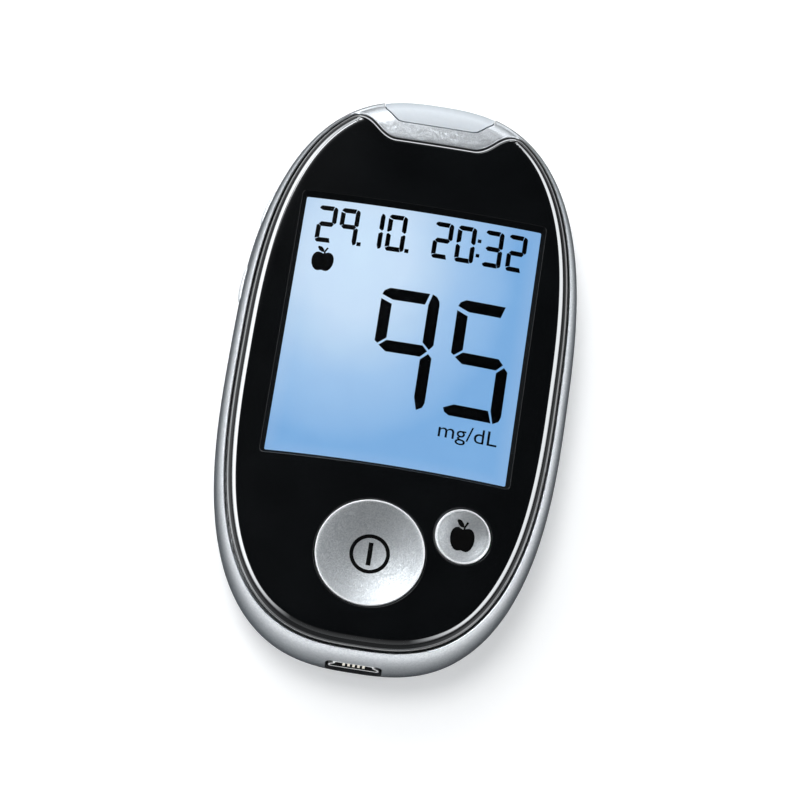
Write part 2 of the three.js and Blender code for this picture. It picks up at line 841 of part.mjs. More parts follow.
// Faceplate: glossy black plate with a bevelled window and two round holes
function faceplate() {
  const plate = faceSlab((angle) => faceRadius(angle, fitGap / 2), faceplateThickness, 0);
  const bevel = crownSlab(windowOutline(0, windowBevelDepth),
    windowOutline(windowBevelWidth * 2, -windowBevelDepth));
  const opening = windowBox(0, 0, bodyHeight + cutOverrun);
  return plate.subtract(opening).subtract(bevel).subtract(powerHole).subtract(mealHole);
}

addMesh('faceplate', faceplate(), 'glossBlack');

// Display: clear pane in the deck, crowned panel, light guide, and the holder that carries them
addMesh('display_window', crownSlab(windowOutline(paneMargin, recessDrop + paneThickness),
  windowOutline(paneMargin, recessDrop)), 'clear');
addMesh('display_panel', crownSlab(windowOutline(panelMargin, panelDrop + panelThickness),
  windowOutline(panelMargin, panelDrop)), 'display');

function lightGuide() {
  const low = windowOutline(panelMargin, guideDrop + guideThickness);
  const high = windowOutline(panelMargin, guideDrop);
  for (const outline of [low, high]) {
    outline.lowY += guideSetback;
    outline.halfWidth = windowHalfWidth + guideSideMargin;
  }
  return crownSlab(low, high);
}

addMesh('light_guide', lightGuide(), 'diffuser');

const holderInner = windowOutline(panelMargin + fitGap, holderDrop);
holderInner.lowY -= flexSpace;

function switchTipX(switchY) {
  const inset = wallThickness + fitGap + sideFlangeThickness;
  return -sideReach(Math.abs(switchY) + sideSwitchTipHalfWidth, inset) + sideRestGap;
}

function displayHolder() {
  const outer = { ...holderInner };
  outer.halfWidth += holderWall;
  outer.lowY -= holderWall;
  outer.highY += holderWall;
  const block = crownSlab({ ...outer, drop: bodyHeight }, outer);
  const floor = box(-bodyHalfWidth, bodyHalfWidth, -bodyHalfLength, bodyHalfLength, -bodyHeight, partBase);
  const hollow = box(-holderInner.halfWidth, holderInner.halfWidth, holderInner.lowY,
    holderInner.highY, 0, bodyHeight);
  const switchReach = sideSwitchHalfLength + fitGap;
  const switchY = upButtonY - sideSwitchShift;
  const relief = box(-outer.halfWidth - cutOverrun, 0, switchY - switchReach, switchY + switchReach,
    0, partBase + sideSwitchHeight + fitGap);
  return block.subtract(floor).subtract(hollow).subtract(relief);
}

addMesh('display_holder', displayHolder(), 'whitePlastic');

const flexY = windowLowY - panelMargin - fitGap - flexThickness;
const flexTop = crownHeight(flexHalfWidth, windowLowY) - panelDrop - panelThickness - fitGap;
const flexLow = partBase + flexSocketHeight + fitGap;

function displayFlex() {
  const leg = box(-flexHalfWidth, flexHalfWidth, flexY, flexY + flexThickness, flexLow, flexTop);
  const lip = box(-flexHalfWidth, flexHalfWidth, flexY, flexY + flexLipLength,
    flexTop - flexThickness, flexTop);
  return leg.add(lip);
}

addMesh('display_flex', displayFlex(), 'amberFilm');
addMesh('display_flex_socket', box(-flexHalfWidth - 2 * flexThickness, flexHalfWidth + 2 * flexThickness,
  flexY, flexY + flexSocketDepth, partBase, partBase + flexSocketHeight), 'whitePlastic');

const ledX = windowHalfWidth - ledSideMargin;
const ledY = windowLowY + ledEndMargin;

for (const [name, side] of [['backlight_led_left', -1], ['backlight_led_right', 1]]) {
  addMesh(name, box(side * ledX - ledLength / 2, side * ledX + ledLength / 2,
    ledY - ledWidth / 2, ledY + ledWidth / 2, partBase, partBase + ledHeight), 'whitePlastic');
}

// Round buttons, the silicone mat below them and its snap domes
addMesh('power_button', placePower(roundButton(powerButton, 40)), 'silver');
addMesh('meal_button', placeMeal(roundButton(mealButton, 32)), 'silver');

const powerTip = bodyHeight - buttonReach(powerButton) - buttonRestGap;
const mealReach = buttonReach(mealButton);
const mealTip = mealTop - mealReach * Math.cos(mealTilt)
  - mealPlungerRadius * Math.sin(mealTilt) - buttonRestGap;
const mealFootX = mealX - mealReach * Math.sin(mealTilt);

function matDome(x, y, radius, tip) {
  const skirt = disc(x, y, radius, partBase, tip - domeTipRise, 20, domeShoulderRadius);
  return skirt.add(disc(x, y, domeTipRadius, partBase, tip, 16));
}

function buttonMat() {
  const top = partBase + matThickness;
  const bridge = prism(vector2List([
    [powerX, powerY - matBridgeWidth],
    [mealFootX, mealY - matBridgeWidth],
    [mealFootX, mealY + matBridgeWidth],
    [powerX, powerY + matBridgeWidth],
  ]), partBase, top);
  let solid = disc(powerX, powerY, powerMatRadius, partBase, top, 28);
  solid = solid.add(disc(mealFootX, mealY, mealMatRadius, partBase, top, 24)).add(bridge);
  solid = solid.add(matDome(powerX, powerY, powerDomeRadius, powerTip));
  solid = solid.add(matDome(mealFootX, mealY, mealDomeRadius, mealTip));
  for (const [x, y] of [[powerX, powerY], [mealFootX, mealY]]) {
    const roof = partBase + snapDomeHeight + fitGap;
    solid = solid.subtract(disc(x, y, snapDomeRadius + fitGap, 0, roof, 20));
  }
  return solid;
}

addMesh('button_mat', buttonMat(), 'silicone');

function snapDome(x, y) {
  return disc(x, y, snapDomeRadius, partBase, partBase + snapDomeHeight, 16, snapDomeRadius / 2);
}

addMesh('power_snap_dome', snapDome(powerX, powerY), 'steel');
addMesh('meal_snap_dome', snapDome(mealFootX, mealY), 'steel');

// Side buttons and the switches behind them
addMesh('up_button', sideButton(upButtonY), 'silver');
addMesh('down_button', sideButton(downButtonY), 'silver');

function sideSwitch(buttonY) {
  const centreY = buttonY - sideSwitchShift;
  const tipX = switchTipX(centreY);
  const middle = (sideButtonLowHeight + sideButtonHighHeight) / 2;
  const housing = box(tipX + sideSwitchTipLength, tipX + sideSwitchDepth, centreY - sideSwitchHalfLength,
    centreY + sideSwitchHalfLength, partBase, partBase + sideSwitchHeight);
  const tip = box(tipX, tipX + sideSwitchDepth, centreY - sideSwitchTipHalfWidth,
    centreY + sideSwitchTipHalfWidth, middle - sideSwitchTipHalfWidth, middle + sideSwitchTipHalfWidth);
  return housing.add(tip);
}

addMesh('up_switch', sideSwitch(upButtonY), 'steel');
addMesh('down_switch', sideSwitch(downButtonY), 'steel');

// Circuit board and its small parts
function mainBoard() {
  const outline = angles.map((angle) => {
    const radius = bodyRadius(angle, boardInset);
    return new THREE.Vector2(radius * Math.cos(angle), radius * Math.sin(angle));
  });
  let solid = prism(outline, boardHeight, boardTop);
  solid = solid.subtract(box(-usbHalfWidth - fitGap, usbHalfWidth + fitGap, -bodyHalfLength,
    usbFrontY + usbDepth + fitGap, 0, bodyHeight));
  for (const [x, y] of screwPlaces) {
    solid = solid.subtract(disc(x, y, screwShankRadius + fitGap, 0, bodyHeight, 12));
  }
  return solid;
}

addMesh('main_board', mainBoard(), 'board');

function boardBlock(x, y, length, width, height) {
  return box(x - length / 2, x + length / 2, y - width / 2, y + width / 2, partBase, partBase + height);
}

addMesh('processor_chip', boardBlock(processorX, processorY, processorSize, processorSize,
  processorHeight), 'chip');
addMesh('memory_chip', boardBlock(processorX + memoryOffsetX, processorY + memoryOffsetY, memoryLength,
  memoryWidth, memoryHeight), 'chip');

function clockCrystal() {
  const geometry = new THREE.CylinderGeometry(crystalRadius, crystalRadius, crystalLength, 12);
  geometry.translate(powerX - crystalOffsetX, powerY + crystalOffsetY, partBase + crystalRadius);
  return solidFromGeometry(geometry);
}

addMesh('clock_crystal', clockCrystal(), 'steel');

function buzzer() {
  const top = underBoard;
  const port = disc(0, buzzerY, buzzerPortRadius, 0, top - buzzerHeight / 2, 12);
  return disc(0, buzzerY, buzzerRadius, top - buzzerHeight, top, 24).subtract(port);
}

addMesh('buzzer', buzzer(), 'chip');

// Test strip port: translucent insert in the end wall, socket, its contacts and its lamp
function slotBox(halfWidth, opening, lowY, highY) {
  return box(-halfWidth, halfWidth, lowY, highY, slotHeight - opening / 2, slotHeight + opening / 2);
}

function slotMouth() {
  const outerY = bodyHalfLength + fitGap;
  const innerY = bodyHalfLength - slotFlare;
  const gridAt = (y, grow) => [-1, 1].map((side) => [-1, 1].map((level) => new THREE.Vector3(
    side * (slotHalfWidth + grow), y, slotHeight + level * (slotOpening / 2 + grow))));
  return gridSolid(gridAt(innerY, 0), gridAt(outerY, slotFlare));
}

function stripPortInsert() {
  let solid = upperBody().intersect(prism(insertOutline(0), insertBottom, bodyHeight + cutOverrun));
  solid = solid.subtract(upperRoom(insertWall, insertWall));
  solid = solid.subtract(slotBox(slotHalfWidth, slotOpening, socketHighY, bodyHalfLength + cutOverrun));
  return solid.subtract(slotMouth());
}

addMesh('strip_port_insert', stripPortInsert(), 'portWhite');

function stripSocket() {
  const block = box(-socketHalfWidth, socketHalfWidth, socketLowY, socketHighY,
    partBase, partBase + socketHeight);
  return block.subtract(slotBox(slotHalfWidth, slotOpening, socketHighY - socketSlotDepth,
    socketHighY + cutOverrun));
}

addMesh('strip_socket', stripSocket(), 'whitePlastic');

function stripContact(x) {
  const backY = socketLowY - fitGap;
  const tail = box(x - contactWidth / 2, x + contactWidth / 2, backY - contactTail, backY,
    partBase, partBase + contactThickness);
  const rise = box(x - contactWidth / 2, x + contactWidth / 2, backY - contactThickness, backY,
    partBase, partBase + contactRise);
  return tail.add(rise);
}

for (const place of [-1, 0, 1]) {
  addMesh(`strip_contact_${place + 2}`, stripContact(place * contactPitch), 'gold');
}

addMesh('strip_port_lamp', boardBlock(socketHalfWidth + stripLightSpace, socketHighY - stripLightSetback,
  stripLightLength, stripLightLength, stripLightHeight), 'whitePlastic');

// Data socket: a pressed shell with a shaped mouth, and the tongue inside it
function usbShell() {
  const outer = prismAlongY(usbOutline(0), usbFrontY, usbFrontY + usbDepth);
  return outer.subtract(prismAlongY(usbOutline(-usbWall), usbFrontY - cutOverrun,
    usbFrontY + usbDepth - usbWall));
}

addMesh('usb_shell', usbShell(), 'steel');

function usbTongue() {
  return box(-usbTongueHalfWidth, usbTongueHalfWidth, usbFrontY + usbTongueSetback,
    usbFrontY + usbDepth - usbWall - fitGap, usbMiddle - usbTongueThickness / 2,
    usbMiddle + usbTongueThickness / 2);
}

addMesh('usb_tongue', usbTongue(), 'chip');

// Rear housing: rounded tray with the battery bay, screw posts and the label recess
const bayHalfWidth = cellX + cellRadius + bayGap;
const bayHalfLength = cellRadius + bayGap;
const doorHalfWidth = bayHalfWidth + doorMarginX;
const doorHalfLength = bayHalfLength + doorMarginY;
const hingeY = bayY + doorHalfLength + fitGap;
const latchY = bayY - doorHalfLength;

function lowerRing(turn, extraInset, heightAt) {
  const inset = undersideInset * (1 - Math.cos(turn)) + extraInset;
  return ring((angle) => bodyRadius(angle, inset), heightAt);
}

function turnAtHeight(height) {
  return Math.asin((widestHeight - height) / widestHeight);
}

function rearShell() {
  const heightAt = (turn) => widestHeight * (1 - Math.sin(turn));
  const firstTurn = turnAtHeight(rearTop);
  const turns = [90, 80, 70, 58, 45, 30].map((degrees) => THREE.MathUtils.degToRad(degrees));
  const outerRings = [...turns, firstTurn].map((turn) => lowerRing(turn, 0, () => heightAt(turn)));
  const outer = loft(new THREE.Vector3(0, 0, 0), outerRings, new THREE.Vector3(0, 0, rearTop));
  const floorTurn = turnAtHeight(floorThickness);
  const roomTurns = [floorTurn, (floorTurn + firstTurn) / 2, firstTurn];
  const roomRings = roomTurns.map((turn) => lowerRing(turn, wallThickness, () => heightAt(turn)));
  roomRings.push(lowerRing(firstTurn, wallThickness, () => rearTop + cutOverrun));
  const room = loft(new THREE.Vector3(0, 0, floorThickness), roomRings,
    new THREE.Vector3(0, 0, rearTop + cutOverrun));
  return outer.subtract(room);
}

function doorOutline(margin) {
  return roundedRectangle(doorHalfWidth + margin, doorHalfLength + margin, doorCorner + margin, bayY);
}

function cellBay() {
  const outline = roundedRectangle(bayHalfWidth, bayHalfLength, bayHalfLength - fitGap, bayY);
  return prism(outline, 0, bayTop + cutOverrun);
}

function plusPocket(side) {
  const nearX = side * (cellX + cellRadius - fitGap);
  const farX = side * (bayHalfWidth + plusPocketDepth);
  const halfWidth = plusContactWidth / 2 + fitGap;
  return box(Math.min(nearX, farX), Math.max(nearX, farX), bayY - halfWidth, bayY + halfWidth,
    cellBottom, bayTop + cutOverrun);
}

function rearHousing() {
  const block = prism(doorOutline(fitGap + bayWall), floorThickness / 2, bayTop);
  let solid = rearShell().add(block);
  for (const [x, y] of screwPlaces) {
    solid = solid.add(disc(x, y, postRadius, floorThickness / 2, underBoard, 20));
  }
  solid = solid.subtract(cellBay());
  solid = solid.subtract(prism(doorOutline(fitGap), -cutOverrun, cellBottom));
  solid = solid.subtract(plusPocket(-1)).subtract(plusPocket(1));
  const pocketX = hingeTabOuterX + fitGap;
  solid = solid.subtract(box(-pocketX, pocketX, hingeY - hingePocketReach, hingeY + hingePocketReach,
    floorThickness, hingePocketHeight));
  const catchX = latchHalfWidth + fitGap;
  solid = solid.subtract(box(-catchX, catchX, latchY - fitGap - bayWall - cutOverrun, bayY,
    floorThickness, latchPocketHeight));
  for (const [x, y] of screwPlaces) {
    const seat = screwHeadDepth + screwHeadHeight + fitGap;
    solid = solid.subtract(disc(x, y, screwHeadRadius + fitGap, -cutOverrun, seat, 20));
    solid = solid.subtract(disc(x, y, screwShankRadius + fitGap, 0, bodyHeight, 12));
  }
  const labelHole = box(-labelHalfWidth - fitGap, labelHalfWidth + fitGap, labelLowY - fitGap,
    labelHighY + fitGap, -cutOverrun, labelRecess);
  return solid.subtract(labelHole);
}

addMesh('rear_housing', rearHousing(), 'rearGrey');
addMesh('blank_label', box(-labelHalfWidth, labelHalfWidth, labelLowY, labelHighY,
  labelSetback, labelSetback + labelThickness), 'label');

// Battery door: two hinge tabs at one end, a pressed-in latch tongue at the other
function batteryDoor() {
  const top = doorRecess + doorThickness;
  let solid = prism(doorOutline(0), doorRecess, top);
  const tabBottom = top + hingeTabRise - hingeTabThickness;
  const innerEdge = hingeY - fitGap;
  for (const side of [-1, 1]) {
    const lowX = Math.min(side * hingeTabInnerX, side * hingeTabOuterX);
    const highX = Math.max(side * hingeTabInnerX, side * hingeTabOuterX);
    const riser = box(lowX, highX, innerEdge - hingeTabRoot, innerEdge, doorRecess + fitGap,
      top + hingeTabRise);
    const tab = box(lowX, highX, innerEdge - hingeTabRoot, innerEdge + hingeTabReach, tabBottom,
      top + hingeTabRise);
    solid = solid.add(riser).add(tab);
    const slitX = side * (latchHalfWidth + latchSlit / 2);
    solid = solid.subtract(box(slitX - latchSlit / 2, slitX + latchSlit / 2, latchY - cutOverrun,
      latchY + latchLength, 0, bodyHeight));
  }
  const nib = box(-latchHalfWidth + fitGap, latchHalfWidth - fitGap, latchY, latchY + latchNibDepth,
    doorRecess + fitGap, top + latchNibRise);
  return solid.add(nib);
}

addMesh('battery_door', batteryDoor(), 'rearGrey');

// Two coin cells with their contacts
function coinCell(side) {
  const body = disc(side * cellX, bayY, cellRadius, cellBottom, cellTop - fitGap, 36);
  return body.add(disc(side * cellX, bayY, cellRadius - 3 * fitGap, cellBottom, cellTop, 36));
}

// Spring strip above the middle of a cell, held to the board by a leg at its outer end
function minusContact(side) {
  const low = cellTop + fitGap;
  const outerX = side * (cellX + minusContactHalfLength);
  const innerX = side * (cellX - minusContactHalfLength);
  const legX = outerX - side * minusContactLeg;
  const halfWidth = minusContactWidth / 2;
  const strip = box(Math.min(innerX, outerX), Math.max(innerX, outerX), bayY - halfWidth,
    bayY + halfWidth, low, low + contactThickness);
  const leg = box(Math.min(legX, outerX), Math.max(legX, outerX), bayY - halfWidth,
    bayY + halfWidth, low, underBoard);
  return strip.add(leg);
}

// Upright strip beside the rim of a cell, with a tail under the board
function plusContact(side) {
  const top = underBoard;
  const innerX = cellX + cellRadius + fitGap;
  const wide = [innerX, innerX + contactThickness].map((x) => side * x);
  const leg = box(Math.min(...wide), Math.max(...wide), bayY - plusContactWidth / 2,
    bayY + plusContactWidth / 2, cellBottom + fitGap, top);
  const reach = [innerX, innerX + plusContactTail].map((x) => side * x);
  const tail = box(Math.min(...reach), Math.max(...reach), bayY - plusContactWidth / 2,
    bayY + plusContactWidth / 2, top - contactThickness, top);
  return leg.add(tail);
}

for (const [word, side] of [['left', -1], ['right', 1]]) {
  addMesh(`coin_cell_${word}`, coinCell(side), 'steel');
  addMesh(`minus_contact_${word}`, minusContact(side), 'gold');
  addMesh(`plus_contact_${word}`, plusContact(side), 'gold');
}

// Four screws, driven from the underside into the front housing
function housingScrew(x, y) {
  const seat = screwHeadDepth + screwHeadHeight;
  const profile = vector2List([
    [0, screwHeadDepth],
    [screwHeadRadius, screwHeadDepth],
    [screwHeadRadius, seat],
    [screwShankRadius, seat],
    [screwShankRadius, screwTipHeight - screwPointLength],
    [0, screwTipHeight],
  ]);
  let solid = lathe(profile, 16);
  const slotTop = screwHeadDepth + screwSlotDepth;
  solid = solid.subtract(box(-screwSlotHalfLength, screwSlotHalfLength, -screwSlotWidth / 2,
    screwSlotWidth / 2, 0, slotTop));
  solid = solid.subtract(box(-screwSlotWidth / 2, screwSlotWidth / 2, -screwSlotHalfLength,
    screwSlotHalfLength, 0, slotTop));
  return solid.translate([x, y, 0]);
}

screwPlaces.forEach(([x, y], index) => {
  addMesh(`housing_screw_${index + 1}`, housingScrew(x, y), 'steel');
});

export default root;
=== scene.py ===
import math

import bmesh
import bpy
import numpy as np
from mathutils import Matrix, Vector
from mathutils.geometry import delaunay_2d_cdt


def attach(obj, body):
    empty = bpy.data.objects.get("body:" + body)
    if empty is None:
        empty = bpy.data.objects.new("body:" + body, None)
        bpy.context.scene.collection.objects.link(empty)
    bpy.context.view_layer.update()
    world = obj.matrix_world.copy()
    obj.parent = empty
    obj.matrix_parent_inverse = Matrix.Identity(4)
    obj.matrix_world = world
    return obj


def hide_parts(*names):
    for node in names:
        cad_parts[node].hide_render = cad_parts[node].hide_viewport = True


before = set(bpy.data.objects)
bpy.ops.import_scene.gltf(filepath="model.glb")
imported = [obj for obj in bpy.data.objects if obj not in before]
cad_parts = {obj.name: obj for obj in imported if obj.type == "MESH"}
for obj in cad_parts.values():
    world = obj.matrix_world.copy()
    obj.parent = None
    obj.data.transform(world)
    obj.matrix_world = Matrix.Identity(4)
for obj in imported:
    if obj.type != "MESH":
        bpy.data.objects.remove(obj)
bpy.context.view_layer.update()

# Rear housing
# A shallow tray moulded in grey plastic with a spark-eroded skin. It carries the battery bay and
# four screw posts, and closes the meter from below.
MM = 0.001
BODY_HALF_WIDTH = 26.2
BODY_HALF_LENGTH = 45.5
BODY_POWER = 2.72
WIDEST_HEIGHT = 7.4
UNDERSIDE_INSET = 4.35
TRAY_HEIGHTS = (0.01, 3.4)
TRAY_FACET = 1.2
REAR_GREY = (0.30, 0.315, 0.33)


def outline_radius(angle, half_width, half_length, power):
    """How far a rounded outline reaches from its middle, at an angle."""
    across = np.abs(np.cos(angle)) / half_width
    along = np.abs(np.sin(angle)) / half_length
    return (across ** power + along ** power) ** (-1 / power)


def body_radius(angle, inset=0.0):
    return outline_radius(angle, BODY_HALF_WIDTH - inset, BODY_HALF_LENGTH - inset, BODY_POWER)


def lower_inset(height):
    """How far the wall has drawn in below the widest line."""
    share = np.clip((WIDEST_HEIGHT - height) / WIDEST_HEIGHT, 0, 1)
    return UNDERSIDE_INSET * (1 - np.sqrt(1 - share ** 2))


def feed(tree, node, inputs):
    """Give inputs of a node, by name or number, a value or the output of another node."""
    for socket, value in inputs.items():
        if isinstance(value, bpy.types.NodeSocket):
            tree.links.new(value, node.inputs[socket])
        else:
            node.inputs[socket].default_value = value


def add_node(tree, kind, inputs=None, **settings):
    node = tree.nodes.new(kind)
    for setting, value in settings.items():
        setattr(node, setting, value)
    feed(tree, node, inputs or {})
    return node


def start_group(name, kind, inputs, outputs):
    """Node group with its first and last node. Inputs are name, kind and value."""
    tree = bpy.data.node_groups.new(name, kind)
    for label, sort, value in inputs:
        socket = tree.interface.new_socket(label, in_out="INPUT", socket_type="NodeSocket" + sort)
        if value is not None:
            socket.default_value = value
    for label, sort in outputs:
        tree.interface.new_socket(label, in_out="OUTPUT", socket_type="NodeSocket" + sort)
    return tree, tree.nodes.new("NodeGroupInput"), tree.nodes.new("NodeGroupOutput")


def grain_group():
    """Fine moulded or blasted skin: a mask for colour, a cloud for roughness, and a normal."""
    tree, entry, leave = start_group(
        "moulded_grain", "ShaderNodeTree",
        (("Scale", "Float", 4000.0), ("Depth", "Float", 0.00001), ("Cloud Scale", "Float", 60.0)),
        (("Mask", "Float"), ("Cloud", "Float"), ("Normal", "Vector")))
    place = add_node(tree, "ShaderNodeTexCoord").outputs["Object"]
    fine = add_node(tree, "ShaderNodeTexNoise",
                    {"Vector": place, "Scale": entry.outputs["Scale"], "Detail": 3.0})
    cloud = add_node(tree, "ShaderNodeTexNoise",
                     {"Vector": place, "Scale": entry.outputs["Cloud Scale"], "Detail": 2.0})
    bump = add_node(tree, "ShaderNodeBump",
                    {"Distance": entry.outputs["Depth"], "Height": fine.outputs["Fac"]})
    feed(tree, leave, {"Mask": fine.outputs["Fac"], "Cloud": cloud.outputs["Fac"],
                       "Normal": bump.outputs["Normal"]})
    return tree


GRAIN = grain_group()


def shade(colour, factor):
    return tuple(min(1.0, part * factor) for part in colour) + (1.0,)


def spread(tree, source, low, high, start=0.3, end=0.7):
    """Map a mask to low and high, from start and end, which take in the middle of a noise."""
    return add_node(tree, "ShaderNodeMapRange", {
        "Value": source, "From Min": start, "From Max": end, "To Min": low, "To Max": high,
    }).outputs["Result"]


def mix_colours(tree, factor, first, second, blend_type="MIX"):
    return add_node(tree, "ShaderNodeMix", {"Factor": factor, "A": first, "B": second},
                    data_type="RGBA", blend_type=blend_type).outputs["Result"]


def tune(material, inputs):
    """Set or feed inputs of a material's shader."""
    feed(material.node_tree, material.node_tree.nodes["Principled BSDF"], inputs)
    return material


def start_material(name, inputs):
    material = bpy.data.materials.new(name)
    material.use_nodes = True
    return tune(material, inputs)


def finish(name, colour, roughness, metallic=0.0, scale=4000.0, depth=0.00001, tint=0.08, cloud=60.0):
    """Material with a fine skin: colour and roughness vary with the grain and with soft clouds."""
    material = start_material(name, {"Metallic": metallic})
    tree = material.node_tree
    grain = add_node(tree, "ShaderNodeGroup", {"Scale": scale, "Depth": depth, "Cloud Scale": cloud},
                     node_tree=GRAIN)
    return tune(material, {
        "Base Color": mix_colours(tree, spread(tree, grain.outputs["Mask"], 0.0, 1.0),
                                  shade(colour, 1 - tint), shade(colour, 1 + tint)),
        "Roughness": spread(tree, grain.outputs["Cloud"], roughness * 0.9, roughness * 1.1),
        "Normal": grain.outputs["Normal"],
    })


def put_in_scene(name, data):
    piece = bpy.data.objects.new(name, data)
    bpy.context.scene.collection.objects.link(piece)
    return piece


def open_form(*meshes):
    form = bmesh.new()
    for mesh in meshes:
        form.from_mesh(mesh)
    return form


def close_form(form, mesh):
    form.to_mesh(mesh)
    form.free()


def smooth(piece, angle=35.0):
    """Smooth all edges but those sharper than the angle."""
    piece.data.shade_smooth()
    piece.data.set_sharp_from_angle(angle=math.radians(angle))
    return piece


def settle(piece, smooth_angle=35.0):
    """Merge doubled points, point the faces outwards and smooth all but the sharp edges."""
    form = open_form(piece.data)
    bmesh.ops.remove_doubles(form, verts=form.verts, dist=0.0015 * MM)
    bmesh.ops.dissolve_degenerate(form, edges=form.edges, dist=0.0005 * MM)
    bmesh.ops.recalc_face_normals(form, faces=form.faces)
    close_form(form, piece.data)
    return smooth(piece, smooth_angle)


def make_piece(name, points_mm, faces, material, smooth_angle=35.0):
    mesh = bpy.data.meshes.new(name)
    mesh.from_pydata([tuple(float(c) * MM for c in point) for point in points_mm], [], faces)
    mesh.materials.append(material)
    return settle(put_in_scene(name, mesh), smooth_angle)


def plain_mesh(piece):
    """The piece as its modifiers leave it, as a mesh of its own."""
    bpy.context.view_layer.update()
    graph = bpy.context.evaluated_depsgraph_get()
    return bpy.data.meshes.new_from_object(piece.evaluated_get(graph))


def bake_modifiers(piece):
    mesh = plain_mesh(piece)
    piece.modifiers.clear()
    piece.data = mesh
    return piece


def break_edges(piece, width_mm, angle=40.0):
    """Small bevel in two steps along the sharp edges."""
    bevel = piece.modifiers.new("broken edges", "BEVEL")
    bevel.width = width_mm * MM
    bevel.segments = 2
    bevel.limit_method = "ANGLE"
    bevel.angle_limit = math.radians(angle)
    bevel.use_clamp_overlap = True
    bake_modifiers(piece)


def coat(mesh, material):
    """Give all faces of a mesh one finish."""
    mesh.materials.clear()
    mesh.materials.append(material)
    for polygon in mesh.polygons:
        polygon.material_index = 0


def dressed_copy(node, name, material, bevel_mm=0.12):
    """Copy of a rigid solid with its triangles merged to plain faces and its edges broken."""
    piece = put_in_scene(name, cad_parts[node].data.copy())
    form = open_form(piece.data)
    bmesh.ops.remove_doubles(form, verts=form.verts, dist=0.002 * MM)
    bmesh.ops.dissolve_limit(form, angle_limit=math.radians(0.5), verts=form.verts, edges=form.edges)
    close_form(form, piece.data)
    coat(piece.data, material)
    if bevel_mm > 0:
        break_edges(piece, bevel_mm)
    return smooth(piece)


def round_out(piece, cuts=3, reach=0.3, on_line=0.02):
    """Divide the curved outer wall of the tray and lay its new points on the true outline."""
    form = open_form(piece.data)
    bmesh.ops.triangulate(form, faces=form.faces)

    def off_wall(vert):
        x, y, z = (c / MM for c in vert.co)
        return math.hypot(x, y) - float(body_radius(math.atan2(y, x), lower_inset(z)))

    on_wall = {vert for vert in form.verts if abs(off_wall(vert)) < on_line}
    edges = [edge for edge in form.edges
             if on_wall.issuperset(edge.verts) and edge.calc_length() > TRAY_FACET * MM]
    bmesh.ops.subdivide_edges(form, edges=edges, cuts=cuts, use_grid_fill=True)
    for vert in form.verts:
        gap = off_wall(vert)
        if -reach < gap < 0 and TRAY_HEIGHTS[0] < vert.co.z / MM < TRAY_HEIGHTS[1]:
            stretch = 1 - gap * MM / math.hypot(vert.co.x, vert.co.y)
            vert.co.x *= stretch
            vert.co.y *= stretch
    close_form(form, piece.data)


rear_plastic = finish("rear_grey_plastic", REAR_GREY, 0.5, scale=5200.0, depth=0.000014, tint=0.1)
rear_cover = dressed_copy("rear_housing", "rear_cover", rear_plastic, bevel_mm=0.0)
round_out(rear_cover)
smooth(rear_cover, 30)
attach(rear_cover, "meter")
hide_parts("rear_housing")

# Housing screws
# Four small screws of plated steel with turned heads and crossed slots. They are driven from below
# into the posts of the front housing.
SCREW_HEAD_RADIUS = 1.9
SCREW_SHANK_RADIUS = 0.9
SCREW_HEAD_LOW = 0.9
SCREW_HEAD_HIGH = 2.2
SCREW_TIP = 11.2
CROSS_REACH = 1.2
CROSS_HALF_WIDTH = 0.27
CROSS_HEIGHTS = (0.5, 1.5)
SCREW_PLACES = [(-12.5, 31.0), (12.5, 31.0), (-11.5, -35.0), (11.5, -35.0)]
screw_steel = finish("plated_steel", (0.62, 0.63, 0.65), 0.28, 1.0, scale=2500.0, depth=0.000003)


def skin(loops, closed=False):
    """Points and faces through loops of equal length. Closed joins the last loop to the first."""
    count = len(loops[0])
    pairs = [(level, level + 1) for level in range(len(loops) - 1)]
    if closed:
        pairs.append((len(loops) - 1, 0))
    faces = []
    for low, high in pairs:
        for step in range(count):
            after = (step + 1) % count
            faces.append((low * count + step, low * count + after,
                          high * count + after, high * count + step))
    return [point for loop in loops for point in loop], faces


def between(low, high):
    """Points and faces of a closed solid between two loops of equal length."""
    points, sides = skin([low, high])
    count = len(low)
    return points, [tuple(reversed(range(count))), tuple(range(count, 2 * count))] + sides


def prism(loop, low, high):
    return between([(x, y, low) for x, y in loop], [(x, y, high) for x, y in loop])


def circle_turns(count):
    return [2 * math.pi * step / count for step in range(count)]


def lathe(profile, sides):
    """Points and faces of a turned solid. The profile runs from axis to axis."""
    return skin([[(radius * math.cos(turn), radius * math.sin(turn), height) for turn in circle_turns(sides)]
                 for radius, height in profile])


def carve(piece, solid, operation="DIFFERENCE", own_finish=None):
    """Cut, join or cross a piece with a solid, whose faces may have a finish of their own."""
    cutter = make_piece("cutter", *solid, own_finish or piece.data.materials[0])
    change = piece.modifiers.new("carve", "BOOLEAN")
    change.operation = operation
    change.solver = "EXACT"
    if own_finish:
        change.material_mode = "TRANSFER"
    change.object = cutter
    bake_modifiers(piece)
    bpy.data.objects.remove(cutter)


